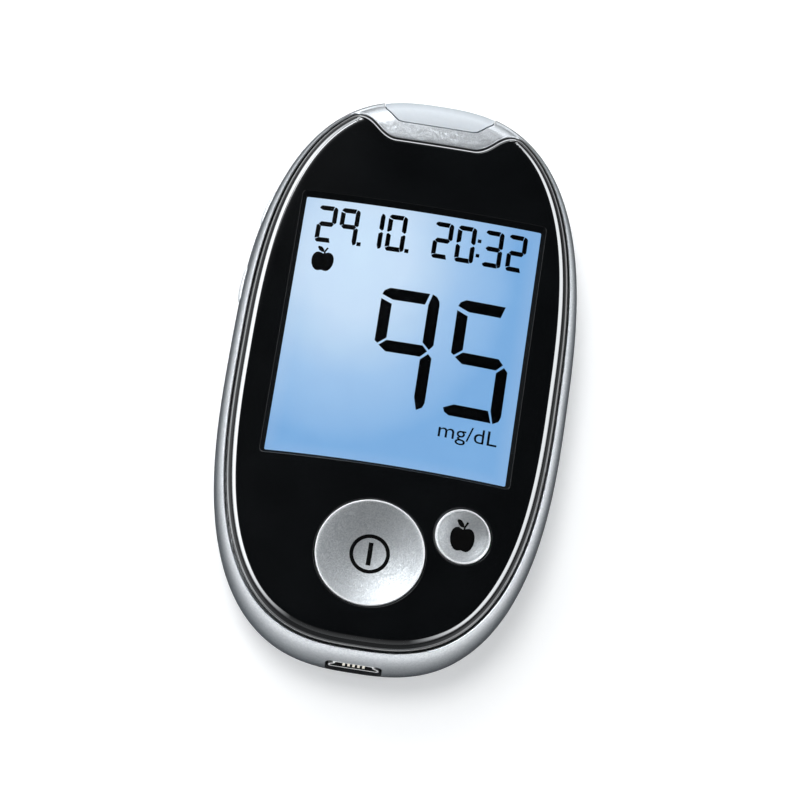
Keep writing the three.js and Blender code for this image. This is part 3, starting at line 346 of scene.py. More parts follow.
def copies_tree():
    """Geometry Nodes: one shape set at every point of the mesh, as real geometry."""
    tree, entry, leave = start_group(
        "copies_at_points", "GeometryNodeTree",
        (("Places", "Geometry", None), ("Shape", "Object", None), ("Size", "Float", 1.0),
         ("Material", "Material", None)),
        (("Copies", "Geometry"),))
    given = entry.outputs
    shape = add_node(tree, "GeometryNodeObjectInfo", {"Object": given["Shape"]})
    spots = add_node(tree, "GeometryNodeInstanceOnPoints", {
        "Points": given["Places"], "Instance": shape.outputs["Geometry"], "Scale": given["Size"]})
    real = add_node(tree, "GeometryNodeRealizeInstances", {"Geometry": spots.outputs["Instances"]})
    coated = add_node(tree, "GeometryNodeSetMaterial", {
        "Geometry": real.outputs["Geometry"], "Material": given["Material"]})
    feed(tree, leave, {"Copies": coated.outputs["Geometry"]})
    return tree


COPIES = copies_tree()


def copies_at(name, shape, places, material):
    """One plain mesh that holds a copy of shape at each place. The shape is used up."""
    mesh = bpy.data.meshes.new(name)
    mesh.from_pydata([(x * MM, y * MM, 0.0) for x, y in places], [], [])
    piece = put_in_scene(name, mesh)
    repeat = piece.modifiers.new("copies", "NODES")
    repeat.node_group = COPIES
    for item in COPIES.interface.items_tree:
        value = {"Shape": shape, "Size": 1.0, "Material": material}.get(item.name)
        if value is not None:
            repeat[item.identifier] = value
    bake_modifiers(piece)
    bpy.data.objects.remove(shape)
    return smooth(piece)


def screw_shape():
    head, shank = SCREW_HEAD_RADIUS, SCREW_SHANK_RADIUS
    screw = make_piece("screw_shape", *lathe([
        (0.0, SCREW_HEAD_LOW), (head - 0.25, SCREW_HEAD_LOW), (head - 0.08, SCREW_HEAD_LOW + 0.08),
        (head, SCREW_HEAD_LOW + 0.25), (head, SCREW_HEAD_HIGH), (shank, SCREW_HEAD_HIGH),
        (shank, SCREW_TIP - 0.5), (0.0, SCREW_TIP)], 40), screw_steel)
    for half_x, half_y in ((CROSS_REACH, CROSS_HALF_WIDTH), (CROSS_HALF_WIDTH, CROSS_REACH)):
        corners = [(-half_x, -half_y), (half_x, -half_y), (half_x, half_y), (-half_x, half_y)]
        carve(screw, prism(corners, *CROSS_HEIGHTS))
    return screw


screws = copies_at("housing_screws", screw_shape(), SCREW_PLACES, screw_steel)
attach(screws, "meter")
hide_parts("housing_screw_1", "housing_screw_2", "housing_screw_3", "housing_screw_4")

# Rating label
# A satin film with rounded corners, die cut and left without print. It is stuck into a shallow
# recess of the underside.
LABEL_HALF_WIDTH = 13.0
LABEL_LOW_Y = 5.0
LABEL_HIGH_Y = 25.0
LABEL_CORNER = 1.2
LABEL_HEIGHTS = (0.1, 0.3)
label_film = finish("bare_label_film", (0.66, 0.67, 0.68), 0.42, scale=1800.0, depth=0.000004, tint=0.03)


def rounded_loop(half_width, half_length, corner, centre=(0.0, 0.0), steps=8):
    """Counter-clockwise outline of a rectangle with rounded corners."""
    loop = []
    for index, (side_x, side_y) in enumerate(((1, 1), (-1, 1), (-1, -1), (1, -1))):
        for step in range(steps + 1):
            angle = (index + step / steps) * math.pi / 2
            loop.append((centre[0] + side_x * (half_width - corner) + corner * math.cos(angle),
                         centre[1] + side_y * (half_length - corner) + corner * math.sin(angle)))
    return loop


label_loop = rounded_loop(LABEL_HALF_WIDTH, (LABEL_HIGH_Y - LABEL_LOW_Y) / 2, LABEL_CORNER,
                          (0, (LABEL_LOW_Y + LABEL_HIGH_Y) / 2))
label = make_piece("rating_label_bare", *prism(label_loop, *LABEL_HEIGHTS), label_film)
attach(label, "meter")
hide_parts("blank_label")

# Battery door
# The same grey plastic as the tray, with three raised grip bars beside the latch. It hooks in at one
# edge by two tabs and swings out of the underside.
GRIP_BAR_HALF_LENGTH = 4.5
GRIP_BAR_HALF_WIDTH = 0.28
GRIP_BAR_CORNER = 0.27
GRIP_BAR_HEIGHTS = (0.02, 0.3)
GRIP_BAR_PLACES = [(0.0, -18.6), (0.0, -17.3), (0.0, -16.0)]
door = dressed_copy("battery_door", "battery_door_panel", rear_plastic, bevel_mm=0.1)
bar_loop = rounded_loop(GRIP_BAR_HALF_LENGTH, GRIP_BAR_HALF_WIDTH, GRIP_BAR_CORNER, steps=6)
bar_shape = make_piece("bar_shape", *prism(bar_loop, *GRIP_BAR_HEIGHTS), rear_plastic)
bars = copies_at("battery_door_grip_bars", bar_shape, GRIP_BAR_PLACES, rear_plastic)
for piece in (door, bars):
    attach(piece, "battery_door")
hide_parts("battery_door")

# Coin cells and their contacts
# Two flat cells in stamped steel cans lie side by side in the bay. Gold-plated spring strips touch
# their faces and rims.
cell_steel = finish("cell_can_steel", (0.70, 0.71, 0.72), 0.24, 1.0, scale=1500.0, depth=0.000002,
                    cloud=300.0)
contact_gold = finish("gold_plating", (0.80, 0.60, 0.25), 0.3, 1.0, scale=2500.0, depth=0.000002)
for side in ("left", "right"):
    cell = dressed_copy(f"coin_cell_{side}", f"coin_cell_{side}_can", cell_steel, bevel_mm=0.2)
    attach(cell, "meter")
    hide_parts(f"coin_cell_{side}")

# Circuit board and what stands on it
# A green glass-fibre board with its chips, crystal, buzzer, lamps, snap domes and side switches,
# soldered on. The display's film, light guide and holder stand above it.
TRACK_GREEN = (0.08, 0.26, 0.12, 1.0)


def base_colour(material):
    """What feeds the base colour of a material so far."""
    return material.node_tree.nodes["Principled BSDF"].inputs["Base Color"].links[0].from_socket


def board_finish():
    """Solder mask over copper: straight tracks show through as a slightly lighter green."""
    material = finish("solder_mask_green", (0.035, 0.14, 0.07), 0.35, scale=900.0, depth=0.000006)
    tree = material.node_tree
    tracks = add_node(tree, "ShaderNodeTexBrick", {
        "Vector": add_node(tree, "ShaderNodeTexCoord").outputs["Object"],
        "Scale": 260.0, "Mortar Size": 0.06, "Color1": (0.0, 0.0, 0.0, 1.0),
        "Color2": (0.15, 0.15, 0.15, 1.0), "Mortar": (1.0, 1.0, 1.0, 1.0)})
    return tune(material, {
        "Base Color": mix_colours(tree, tracks.outputs["Color"], base_colour(material), TRACK_GREEN)})


def finish_nodes(material, *names):
    for name in names:
        coat(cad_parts[name].data, material)


chip_black = finish("moulded_epoxy_black", (0.018, 0.019, 0.02), 0.55, scale=7000.0, depth=0.00001, tint=0.2)
white_plastic = finish("white_moulded_plastic", (0.74, 0.75, 0.75), 0.5, scale=3000.0, depth=0.000006,
                       tint=0.03)
light_guide_plastic = finish("milky_light_guide", (0.80, 0.82, 0.84), 0.4, scale=600.0, depth=0.000002,
                             tint=0.02)
flex_film = finish("amber_film", (0.42, 0.19, 0.03), 0.3, scale=1200.0, depth=0.000002)
mat_silicone = finish("grey_silicone", (0.28, 0.30, 0.32), 0.65, scale=2500.0, depth=0.000008)
finish_nodes(board_finish(), "main_board")
finish_nodes(chip_black, "processor_chip", "memory_chip", "buzzer")
finish_nodes(screw_steel, "clock_crystal", "power_snap_dome", "meal_snap_dome", "up_switch", "down_switch")
finish_nodes(contact_gold, "strip_contact_1", "strip_contact_2", "strip_contact_3", "minus_contact_left",
             "minus_contact_right", "plus_contact_left", "plus_contact_right")
finish_nodes(white_plastic, "backlight_led_left", "backlight_led_right", "strip_port_lamp",
             "strip_socket", "display_holder", "display_flex_socket")
finish_nodes(light_guide_plastic, "light_guide")
finish_nodes(flex_film, "display_flex")
finish_nodes(mat_silicone, "button_mat")

# Front housing
# The silver frame: moulded plastic under a metallic lacquer, wrapped over the ends. A narrow lip
# borders the faceplate and a bridge crosses in front of the strip port.
RIM_HALF_WIDTH = 24.4
RIM_HALF_LENGTH = 43.8
RIM_POWER = 2.74
CROWN_HEIGHT = 16.0
CROWN_SAG = 2.59
CROWN_TAPER = 0.034
RIM_END_HEIGHT = 14.5
RIM_SIDE_DIP = 1.67
EDGE_ROUND_WIDTH = 3.2
NOTCH_BOTTOM_Y = 36.98
NOTCH_HALF_WIDTH = 7.32
NOTCH_SLOPE = 0.9325
NOTCH_FILLET = 1.6
PEAK_FILLET = 3.6
SHOULDER_TURN = math.radians(75)
SEAM = 0.26
LIP = 0.2
LIP_DROP = 0.2
LIP_RUN = 0.6
WALL = 1.9
PLATE = 1.2
RECESS = 1.5
LEDGE = 2.4
DECK = 2.7
FRONT_LOW = 3.55
FOOT_BREAK = (0.12, 0.08)
RIGHT_DEGREES = np.concatenate((np.arange(-90, 64, 1.0), np.arange(64, 84, 0.4), np.arange(84, 90.01, 1.0)))
ANGLES = np.radians(np.concatenate((RIGHT_DEGREES, 180 - RIGHT_DEGREES[1:-1][::-1])))


def rim_radius(angle, inset=0.0):
    return outline_radius(angle, RIM_HALF_WIDTH - inset, RIM_HALF_LENGTH - inset, RIM_POWER)


def smooth_min(first, second, blend):
    overlap = np.maximum(blend - np.abs(first - second), 0) / blend
    return np.minimum(first, second) - overlap ** 2 * blend / 4


def face_radius(angle, inset=0.0):
    """Outline of the faceplate: the rim, cut back by the bridge."""
    rim = rim_radius(angle, inset)
    rise = np.sin(angle)
    flank_rise = np.maximum(rise - NOTCH_SLOPE * np.abs(np.cos(angle)), 0.02)
    flank_line = NOTCH_BOTTOM_Y - NOTCH_SLOPE * NOTCH_HALF_WIDTH - inset * math.hypot(1, NOTCH_SLOPE)
    floor = (NOTCH_BOTTOM_Y - inset) / np.maximum(rise, 0.02)
    notch = -smooth_min(-floor, -flank_line / flank_rise, NOTCH_FILLET)
    return np.where(rise > 0.4, smooth_min(rim, notch, PEAK_FILLET), rim)


def crown_height(x, y):
    return CROWN_HEIGHT - (CROWN_SAG - CROWN_TAPER * y) * (x / RIM_HALF_WIDTH) ** 2


def rim_height(x):
    return RIM_END_HEIGHT - RIM_SIDE_DIP * (x / RIM_HALF_WIDTH) ** 2


def top_height(x, y):
    """The crown, rounded off towards the rim."""
    inset = rim_radius(np.arctan2(y, x)) - np.hypot(x, y)
    flat = np.clip(inset / EDGE_ROUND_WIDTH, 0, 1)
    crown = crown_height(x, y)
    return crown - np.maximum(crown - rim_height(x), 0) * (1 - flat) ** 2


def ring(radius, height):
    """One ring of points. Height is a number, an array or a function of x and y."""
    x, y = radius * np.cos(ANGLES), radius * np.sin(ANGLES)
    z = height(x, y) if callable(height) else height * np.ones_like(x)
    return np.stack((x, y, z), 1)


def below_top(drop):
    return lambda x, y: top_height(x, y) - drop


def shoulder_share(turn):
    return (1 - math.cos(turn)) / (1 - math.cos(SHOULDER_TURN))


def side_rings(end_radius, end_height, levels=14):
    """Rings of the outer wall, from the widest line up to the given edge."""
    wide = body_radius(ANGLES)
    rings = []
    for level in range(1, levels + 1):
        turn = SHOULDER_TURN * level / levels
        rise = math.sin(turn) / math.sin(SHOULDER_TURN)
        rings.append(ring(wide + (end_radius - wide) * shoulder_share(turn),
                          WIDEST_HEIGHT + (end_height - WIDEST_HEIGHT) * rise))
    return rings


def front_rings():
    """Rings of the frame: up the outer wall, over the rim and the bridge, and down to the deck."""
    rings = [ring(body_radius(ANGLES, WALL), FRONT_LOW),
             ring(body_radius(ANGLES, lower_inset(FRONT_LOW) + FOOT_BREAK[0]), FRONT_LOW)]
    for height in (FRONT_LOW + FOOT_BREAK[1], 4.2, 5.0, 6.2, WIDEST_HEIGHT):
        rings.append(ring(body_radius(ANGLES, lower_inset(height)), height))
    lip_start = rim_radius(ANGLES, -SEAM / 2 - LIP)
    rings += side_rings(lip_start, rim_height(lip_start * np.cos(ANGLES)) - LIP_DROP)
    inner = face_radius(ANGLES, -SEAM / 2 - LIP)
    for share in (0.06, 0.14, 0.24, 0.36, 0.5, 0.65, 0.8, 0.9, 1.0):
        radius = lip_start + (inner - lip_start) * share
        ease = np.clip((lip_start - radius) / LIP_RUN, 0, 1)
        rings.append(ring(radius, below_top(LIP_DROP * (1 - ease))))
    lip_height = rings[-1][:, 2]
    for turn in map(math.radians, (22, 45, 68, 90)):
        radius = face_radius(ANGLES, -SEAM / 2 - LIP * (1 - math.sin(turn)))
        rings.append(ring(radius, lip_height - LIP * (1 - math.cos(turn))))
    return rings + [ring(face_radius(ANGLES, -SEAM / 2), below_top(RECESS)),
                    ring(face_radius(ANGLES, LEDGE), below_top(RECESS)),
                    ring(face_radius(ANGLES, LEDGE), below_top(DECK)),
                    ring(body_radius(ANGLES, WALL + 0.4), below_top(DECK))]


def calculate(tree, operation, *values, vector=False):
    """One step of arithmetic on numbers, or on vectors. Values may be outputs of other nodes."""
    node = add_node(tree, "ShaderNodeVectorMath" if vector else "ShaderNodeMath",
                    dict(enumerate(values)), operation=operation)
    gives_vector = vector and operation not in ("LENGTH", "DOT_PRODUCT")
    return node.outputs["Vector" if gives_vector else "Value"]


def scaled(tree, vector, scale):
    return add_node(tree, "ShaderNodeVectorMath", {0: vector, "Scale": scale},
                    operation="SCALE").outputs["Vector"]


def flake_group():
    """Aluminium flakes in clear lacquer: a value for each flake and a slightly tilted normal."""
    tree, entry, leave = start_group(
        "metal_flake", "ShaderNodeTree",
        (("Flake Scale", "Float", 5200.0), ("Tilt", "Float", 0.1)),
        (("Flake", "Float"), ("Cloud", "Float"), ("Normal", "Vector")))
    place = add_node(tree, "ShaderNodeTexCoord").outputs["Object"]
    surface = add_node(tree, "ShaderNodeNewGeometry").outputs["Normal"]
    cells = add_node(tree, "ShaderNodeTexVoronoi",
                     {"Vector": place, "Scale": entry.outputs["Flake Scale"]}).outputs["Color"]
    split = add_node(tree, "ShaderNodeSeparateColor", {"Color": cells})
    cloud = add_node(tree, "ShaderNodeTexNoise", {"Vector": place, "Scale": 2600.0, "Detail": 2.0})
    lean = scaled(tree, calculate(tree, "SUBTRACT", cells, (0.5, 0.5, 0.5), vector=True),
                  entry.outputs["Tilt"])
    tipped = calculate(tree, "ADD", lean, surface, vector=True)
    feed(tree, leave, {"Flake": split.outputs["Red"], "Cloud": cloud.outputs["Fac"],
                       "Normal": calculate(tree, "NORMALIZE", tipped, vector=True)})
    return tree


FLAKE = flake_group()


def paint_shade_edge_on(material, left, fall):
    """Painted shade: darken a finish's base colour where it is seen edge on, in place of the dark reflections
    at the outline. Left is the share that stays.
    """
    tree = material.node_tree
    facing = add_node(tree, "ShaderNodeLayerWeight", {"Blend": 0.5}).outputs["Facing"]
    tune(material, {"Base Color": mix_colours(
        tree, spread(tree, facing, 0.0, 1.0, *fall), base_colour(material),
        (left * 0.88, left, left * 1.06, 1.0), "MULTIPLY")})


def silver_finish(name, dark, bright, roughness, metallic, flake_scale, tilt):
    """Metallic lacquer over plastic: each flake has its own tone and lies a little differently."""
    material = start_material(name, {"Metallic": metallic, "Specular Tint": (0.25, 0.27, 0.29, 1.0)})
    tree = material.node_tree
    flake = add_node(tree, "ShaderNodeGroup", {"Flake Scale": flake_scale, "Tilt": tilt}, node_tree=FLAKE)
    return tune(material, {
        "Base Color": mix_colours(tree, flake.outputs["Flake"], (*dark, 1.0), (*bright, 1.0)),
        "Roughness": spread(tree, flake.outputs["Cloud"], roughness * 0.94, roughness * 1.06),
        "Normal": flake.outputs["Normal"],
    })


frame_silver = silver_finish("silver_lacquer", (0.80, 0.83, 0.86), (0.96, 0.98, 1.0), 0.38, 0.88,
                             5200.0, 0.13)
# Painted shade: the lacquer's colour falls to 3% where the frame is seen edge on. A little of this is the
# flop of metallic paint; most is shade painted at the outline.
paint_shade_edge_on(frame_silver, 0.03, (0.2, 0.93))
housing = make_piece("front_housing_frame", *skin(front_rings(), closed=True), frame_silver)

# The end wall opens for the strip port insert
INSERT_INNER_Y = 39.95
INSERT_INNER_HALF = 6.0
INSERT_HALF = 8.6
INSERT_LOW = 6.2
INSERT_SEAM = 0.16
ABOVE_ALL = 20.0


def both_sides(right):
    """Whole outline from its right half."""
    return right + [(-x, y) for x, y in reversed(right)]


def insert_loop(margin):
    """Outline of the strip port insert, with small rounds where its edge turns."""
    inner = INSERT_INNER_Y - margin
    side = INSERT_HALF + margin
    corner = INSERT_INNER_HALF + margin
    turn_y = inner + (INSERT_HALF - INSERT_INNER_HALF) * NOTCH_SLOPE
    return both_sides([(corner - 0.6, inner), (corner + 0.1, inner + 0.16), (corner + 0.7, inner + 0.62),
                       (side - 0.35, turn_y - 0.3), (side, turn_y + 0.5), (side, BODY_HALF_LENGTH + 3)])


carve(housing, prism(insert_loop(INSERT_SEAM), INSERT_LOW - 0.3, ABOVE_ALL))

# The near end opens for the data socket; the walls of the opening are near black
USB_HALF_WIDTH = 3.85
USB_ROOF_HALF = 3.1
USB_LOW = 6.05
USB_HEIGHT = 3.1
USB_MIDDLE = USB_LOW + USB_HEIGHT / 2
USB_FRONT_Y = -44.9
MOUTH_RISE = 0.9
MOUTH_SIDE_GAP = 0.4
MOUTH_LOW_GAP = 0.6
MOUTH_CORNER = 1.2
MOUTH_RUN = (-50.0, -40.0)


def along_y(loop, low_y, high_y):
    """Solid over an outline drawn in x and z, running along y."""
    return between([(x, low_y, z) for x, z in loop], [(x, high_y, z) for x, z in loop])


mouth_loop = rounded_loop(USB_HALF_WIDTH + MOUTH_SIDE_GAP, (USB_HEIGHT + MOUTH_RISE) / 2 + MOUTH_LOW_GAP,
                          MOUTH_CORNER, (0, USB_MIDDLE + MOUTH_RISE / 2))
mouth_wall_finish = finish("near_black_mouth_walls", (0.012, 0.014, 0.016), 0.5, scale=3000.0, depth=0.000006)
carve(housing, along_y(mouth_loop, *MOUTH_RUN), own_finish=mouth_wall_finish)

# The left wall swells into a low pod with two slots for the side buttons
POD_LOW_Y = 6.5
POD_HIGH_Y = 29.6
POD_PROUD = 0.15
POD_SUNK = 0.02
POD_HALF_HEIGHT = 2.35
POD_WALL = 1.2
BUTTON_LOW = 7.75
BUTTON_HIGH = 9.75
BUTTON_HALF_HEIGHT = (BUTTON_HIGH - BUTTON_LOW) / 2
BUTTON_HALF_LENGTH = 2.8
BUTTON_PROUD = 0.45
BUTTON_SLOT_GAP = 0.16
BUTTON_SLOT_CORNER = 0.5
BUTTON_SLOT_RUN = (-30.0, -17.0)
UP_BUTTON_Y = 24.9
DOWN_BUTTON_Y = 11.8
POD_MIDDLE = (BUTTON_LOW + BUTTON_HIGH) / 2


def wall_inset(height):
    """Inset of the outer wall at a height, both below and above the widest line."""
    if height < WIDEST_HEIGHT:
        return float(lower_inset(height))
    share = min((height - WIDEST_HEIGHT) / (RIM_END_HEIGHT - RIM_SIDE_DIP - WIDEST_HEIGHT), 1)
    turn = math.asin(share * math.sin(SHOULDER_TURN))
    return (BODY_HALF_WIDTH - RIM_HALF_WIDTH) * shoulder_share(turn)


def wall_reach(y, inset):
    share = min(abs(y) / (BODY_HALF_LENGTH - inset), 1)
    return (BODY_HALF_WIDTH - inset) * (1 - share ** BODY_POWER) ** (1 / BODY_POWER)


def two_skins(rows, columns, outer, inner):
    """Points and faces of a closed wall between two curved skins over a grid of places."""
    wide = len(columns)
    size = len(rows) * wide
    points = [place(row, column) for place in (outer, inner) for row in rows for column in columns]
    faces = []
    for start in range(0, size - wide, wide):
        for a in range(start, start + wide - 1):
            faces.append((a, a + 1, a + wide + 1, a + wide))
            faces.append((size + a, size + a + wide, size + a + wide + 1, size + a + 1))
        for a in (start, start + wide - 1):
            faces.append((a, a + wide, size + a + wide, size + a))
    for column in range(wide - 1):
        for a in (column, size - wide + column):
            faces.append((a, size + a, size + a + 1, a + 1))
    return points, faces


def swell(y):
    place = min(max((y - POD_LOW_Y) / (POD_HIGH_Y - POD_LOW_Y), 0), 1)
    return math.sin(math.pi * place) ** 0.7


def pod_outer(y, z):
    offset = min(abs(z - POD_MIDDLE) / POD_HALF_HEIGHT, 1)
    proud = POD_PROUD * swell(y) * (1 - offset ** 4) - POD_SUNK
    return -wall_reach(y, wall_inset(z)) - proud, y, z


def pod_inner(y, z):
    return -wall_reach(y, wall_inset(z) + POD_WALL), y, z


pod_heights = np.linspace(POD_MIDDLE - POD_HALF_HEIGHT, POD_MIDDLE + POD_HALF_HEIGHT, 17)
carve(housing, two_skins(np.linspace(POD_LOW_Y, POD_HIGH_Y, 60), pod_heights, pod_outer, pod_inner), "UNION")
for middle_y in (UP_BUTTON_Y, DOWN_BUTTON_Y):
    button_slot = rounded_loop(BUTTON_HALF_LENGTH + BUTTON_SLOT_GAP, BUTTON_HALF_HEIGHT + BUTTON_SLOT_GAP,
                               BUTTON_SLOT_CORNER, (middle_y, POD_MIDDLE))
    carve(housing, between(*([(x, y, z) for y, z in button_slot] for x in BUTTON_SLOT_RUN)))
settle(housing, 32)
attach(housing, "meter")
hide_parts("front_housing")

# Strip port insert
# A milky white translucent moulding clipped into the end wall. Its slot for the test strip is
# flared outwards, and it is hollow behind.
SLOT_HALF = 3.6
SLOT_HEIGHT = 9.1
SLOT_OPENING = 1.3
SLOT_CORNER = 0.3
SLOT_RUN = (40.0, 50.0)
SLOT_FLARE = 0.7
FLARE_RUN = (BODY_HALF_LENGTH - 0.75, BODY_HALF_LENGTH + 0.3)
INSERT_WALL = 2.2


def whole_top():
    """Outer body above the board with nothing cut from it."""
    low = INSERT_LOW - 1
    edge = rim_radius(ANGLES)
    rings = [ring(0.01, low), ring(body_radius(ANGLES, lower_inset(low)), low),
             ring(body_radius(ANGLES), WIDEST_HEIGHT)]
    rings += side_rings(edge, rim_height(edge * np.cos(ANGLES)))
    rings += [ring(rim_radius(ANGLES, inset), top_height)
              for inset in (0.3, 0.7, 1.2, 1.8, 2.5, 3.3, 4.5, 6.0, 9.0)]
    return rings + [ring(0.01, top_height)]


port_white = finish("milky_port_plastic", (0.58, 0.615, 0.65), 0.4, scale=1500.0, depth=0.000002, tint=0.02)
# Painted shade: the milky insert's colour falls to 40% where it is seen edge on, in place of the dark
# surroundings it would reflect there.
paint_shade_edge_on(port_white, 0.4, (0.45, 0.9))
tune(port_white, {"Subsurface Weight": 0.2, "Subsurface Radius": (0.002, 0.0025, 0.003),
                  "Subsurface Scale": 0.5})
insert = make_piece("strip_port_insert_white", *skin(whole_top()), port_white)
carve(insert, prism(insert_loop(0.0), INSERT_LOW, ABOVE_ALL), "INTERSECT")
room_low = INSERT_LOW - 2
carve(insert, skin(
    [ring(0.01, room_low), ring(body_radius(ANGLES, INSERT_WALL), room_low)]
    + [ring(body_radius(ANGLES, inset), below_top(INSERT_WALL)) for inset in (INSERT_WALL, 3.0, 4.0, 6.0)]
    + [ring(0.01, below_top(INSERT_WALL))]))


def strip_slot(grow):
    return rounded_loop(SLOT_HALF + grow, SLOT_OPENING / 2 + grow, SLOT_CORNER + grow * 0.5, (0, SLOT_HEIGHT))


carve(insert, along_y(strip_slot(0.0), *SLOT_RUN))
carve(insert, between([(x, FLARE_RUN[0], z) for x, z in strip_slot(0.0)],
                      [(x, FLARE_RUN[1], z) for x, z in strip_slot(SLOT_FLARE)]))
settle(insert, 32)
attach(insert, "meter")
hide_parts("strip_port_insert")

# Display
# A lit panel under a clear pane. Its light is pale at the upper left and deeper blue towards the
# lower end, and the dark segments stand on it as plain numbers.
WINDOW_HALF = 18.25
WINDOW_LOW = -15.4
WINDOW_HIGH = 25.8
WINDOW_MIDDLE = (WINDOW_LOW + WINDOW_HIGH) / 2
WINDOW_HALF_LENGTH = (WINDOW_HIGH - WINDOW_LOW) / 2
PANE_MARGIN = 0.95
PANE_DROP = 1.5
PANE_THICKNESS = 0.9
PANEL_MARGIN = 0.55
PANEL_DROP = 2.7
PANEL_THICKNESS = 1.5
PANEL_BRIGHT_SPOT = (-9.0, 18.0)
PANEL_FADE = (22.0, 28.0)
PANEL_STOPS = [(0.0, (0.63, 0.80, 0.98)), (0.32, (0.60, 0.76, 0.95)), (0.52, (0.46, 0.65, 0.88)),
               (0.66, (0.355, 0.565, 0.845)), (0.88, (0.270, 0.49, 0.795)), (1.0, (0.205, 0.43, 0.755))]
PANEL_EDGE_GLOW = 0.06
PANEL_EDGE_RUN = (-2.2 * MM, -0.5 * MM)


def crown_slab(margin, drop, thickness, steps=36):
    """Slab bent to the crown, larger than the window by the margin."""
    across = np.linspace(-WINDOW_HALF - margin, WINDOW_HALF + margin, steps + 1)
    return two_skins(across, (WINDOW_LOW - margin, WINDOW_HIGH + margin),
                     lambda x, y: (x, y, crown_height(x, y) - drop),
                     lambda x, y: (x, y, crown_height(x, y) - drop - thickness))


def colour_ramp(tree, source, stops):
    """Colour ramp. A stop holds its place and a colour, or one number for a grey."""
    ramp = add_node(tree, "ShaderNodeValToRGB", {"Fac": source})
    elements = ramp.color_ramp.elements
    elements[0].position, elements[1].position = stops[0][0], stops[-1][0]
    for place, _ in stops[1:-1]:
        elements.new(place)
    for element, (_, value) in zip(elements, stops):
        element.color = (*value, 1.0) if isinstance(value, tuple) else (value, value, value, 1.0)
    return ramp.outputs["Color"]


def panel_finish():
    """Backlight seen through the display film: a slow fade by place and a lighter line at the edge."""
    material = start_material("lit_display_film", {
        "Base Color": (0.01, 0.012, 0.015, 1.0), "Roughness": 0.6, "Emission Strength": 1.0})
    tree = material.node_tree
    place = add_node(tree, "ShaderNodeTexCoord").outputs["Object"]
    haze = add_node(tree, "ShaderNodeTexNoise", {"Vector": place, "Scale": 110.0}).outputs["Fac"]
    spot_x, spot_y = PANEL_BRIGHT_SPOT
    fade_x, fade_y = PANEL_FADE
    from_spot = calculate(tree, "SUBTRACT", place, (spot_x * MM, spot_y * MM, 0.0), vector=True)
    stretched = calculate(tree, "MULTIPLY", from_spot, (1 / (fade_x * MM), 1 / (fade_y * MM), 0.0),
                          vector=True)
    fade = calculate(tree, "MULTIPLY_ADD", calculate(tree, "LENGTH", stretched, vector=True), 0.9,
                     calculate(tree, "MULTIPLY_ADD", haze, 0.10, -0.05))
    from_middle = calculate(tree, "SUBTRACT", place, (0.0, WINDOW_MIDDLE * MM, 0.0), vector=True)
    past_edge = calculate(tree, "SUBTRACT", calculate(tree, "ABSOLUTE", from_middle, vector=True),
                          (WINDOW_HALF * MM, WINDOW_HALF_LENGTH * MM, 1.0), vector=True)
    parts = add_node(tree, "ShaderNodeSeparateXYZ", {"Vector": past_edge}).outputs
    nearest = calculate(tree, "MAXIMUM", parts["X"], parts["Y"])
    glow = spread(tree, nearest, 0.0, PANEL_EDGE_GLOW, *PANEL_EDGE_RUN)
    return tune(material, {"Emission Color": mix_colours(
        tree, glow, colour_ramp(tree, fade, PANEL_STOPS), (1.0, 1.0, 1.0, 1.0))})


panel = make_piece("display_panel_lit", *crown_slab(PANEL_MARGIN, PANEL_DROP, PANEL_THICKNESS),
                   panel_finish())
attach(panel, "meter")
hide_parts("display_panel")

# Each numeral is drawn on a grid of 322 by 680, with its seven segments as polygons
SEGMENT_GRID = 680
SEGMENT_SHAPES = {
    "a": [(2, 42), (12, 18), (42, 0), (262, 0), (242, 67), (64, 67)],
    "b": [(277, 0), (302, 12), (318, 36), (322, 60), (322, 297), (300, 325), (260, 287), (260, 67)],
    "c": [(300, 349), (322, 372), (322, 630), (312, 660), (280, 679), (260, 607), (260, 387)],
    "d": [(2, 637), (57, 610), (247, 610), (270, 677), (37, 677), (10, 660)],
    "e": [(0, 372), (22, 349), (62, 387), (62, 592), (0, 618)],
    "f": [(0, 67), (62, 92), (62, 292), (17, 329), (0, 317)],
    "g": [(25, 339), (64, 305), (264, 305), (292, 335), (257, 372), (67, 372)],
}
NUMERAL_SEGMENTS = {"0": "abcdef", "1": "bc", "2": "abged", "3": "abgcd", "5": "afgcd", "9": "abfgc"}
READING_TOP = 13.2
READING_HEIGHT = 18.9
READING_NUMERALS = (("9", -4.5), ("5", 7.22))
ROW_TOP = 25.14
ROW_HEIGHT = 5.9
ROW_WEIGHT = 1.3
ROW_NUMERALS = (("2", -16.03), ("9", -12.56), ("1", -8.68), ("0", -5.19), ("2", 2.0), ("0", 5.58),
                ("3", 9.86), ("2", 13.53))
ROW_DOTS = ((-9.58, 19.89, 0.64), (-2.17, 19.89, 0.64), (8.75, 23.42, 0.56), (8.75, 21.0, 0.56))
SIGN_PLACE = (-14.3, 16.05)
SIGN_SIZE = (3.4, 3.1)
UNIT_LEFT, UNIT_LOW = 7.1, -9.17
UNIT_WIDTH, UNIT_CAP = 9.0, 2.3
segment_black = tune(finish("segment_black", (0.003, 0.003, 0.004), 0.5, scale=900.0, depth=0.000001),
                     {"Specular IOR Level": 0.05})


def numeral(character, left, top, height, weight=1.0):
    """Polygons of one seven-segment numeral, in millimetres. Weight widens its strokes."""
    unit = height / SEGMENT_GRID
    polygons = []
    for key in NUMERAL_SEGMENTS[character]:
        xs, ys = zip(*SEGMENT_SHAPES[key])
        middle_x, middle_y = (min(xs) + max(xs)) / 2, (min(ys) + max(ys)) / 2
        wide, tall = (1.0, weight) if key in "agd" else (weight, 1.0)
        polygons.append([(left + (middle_x + (x - middle_x) * wide) * unit,
                          top - (middle_y + (y - middle_y) * tall) * unit) for x, y in zip(xs, ys)])
    return polygons


def square(left, top, size):
    return [(left, top), (left + size, top), (left + size, top - size), (left, top - size)]


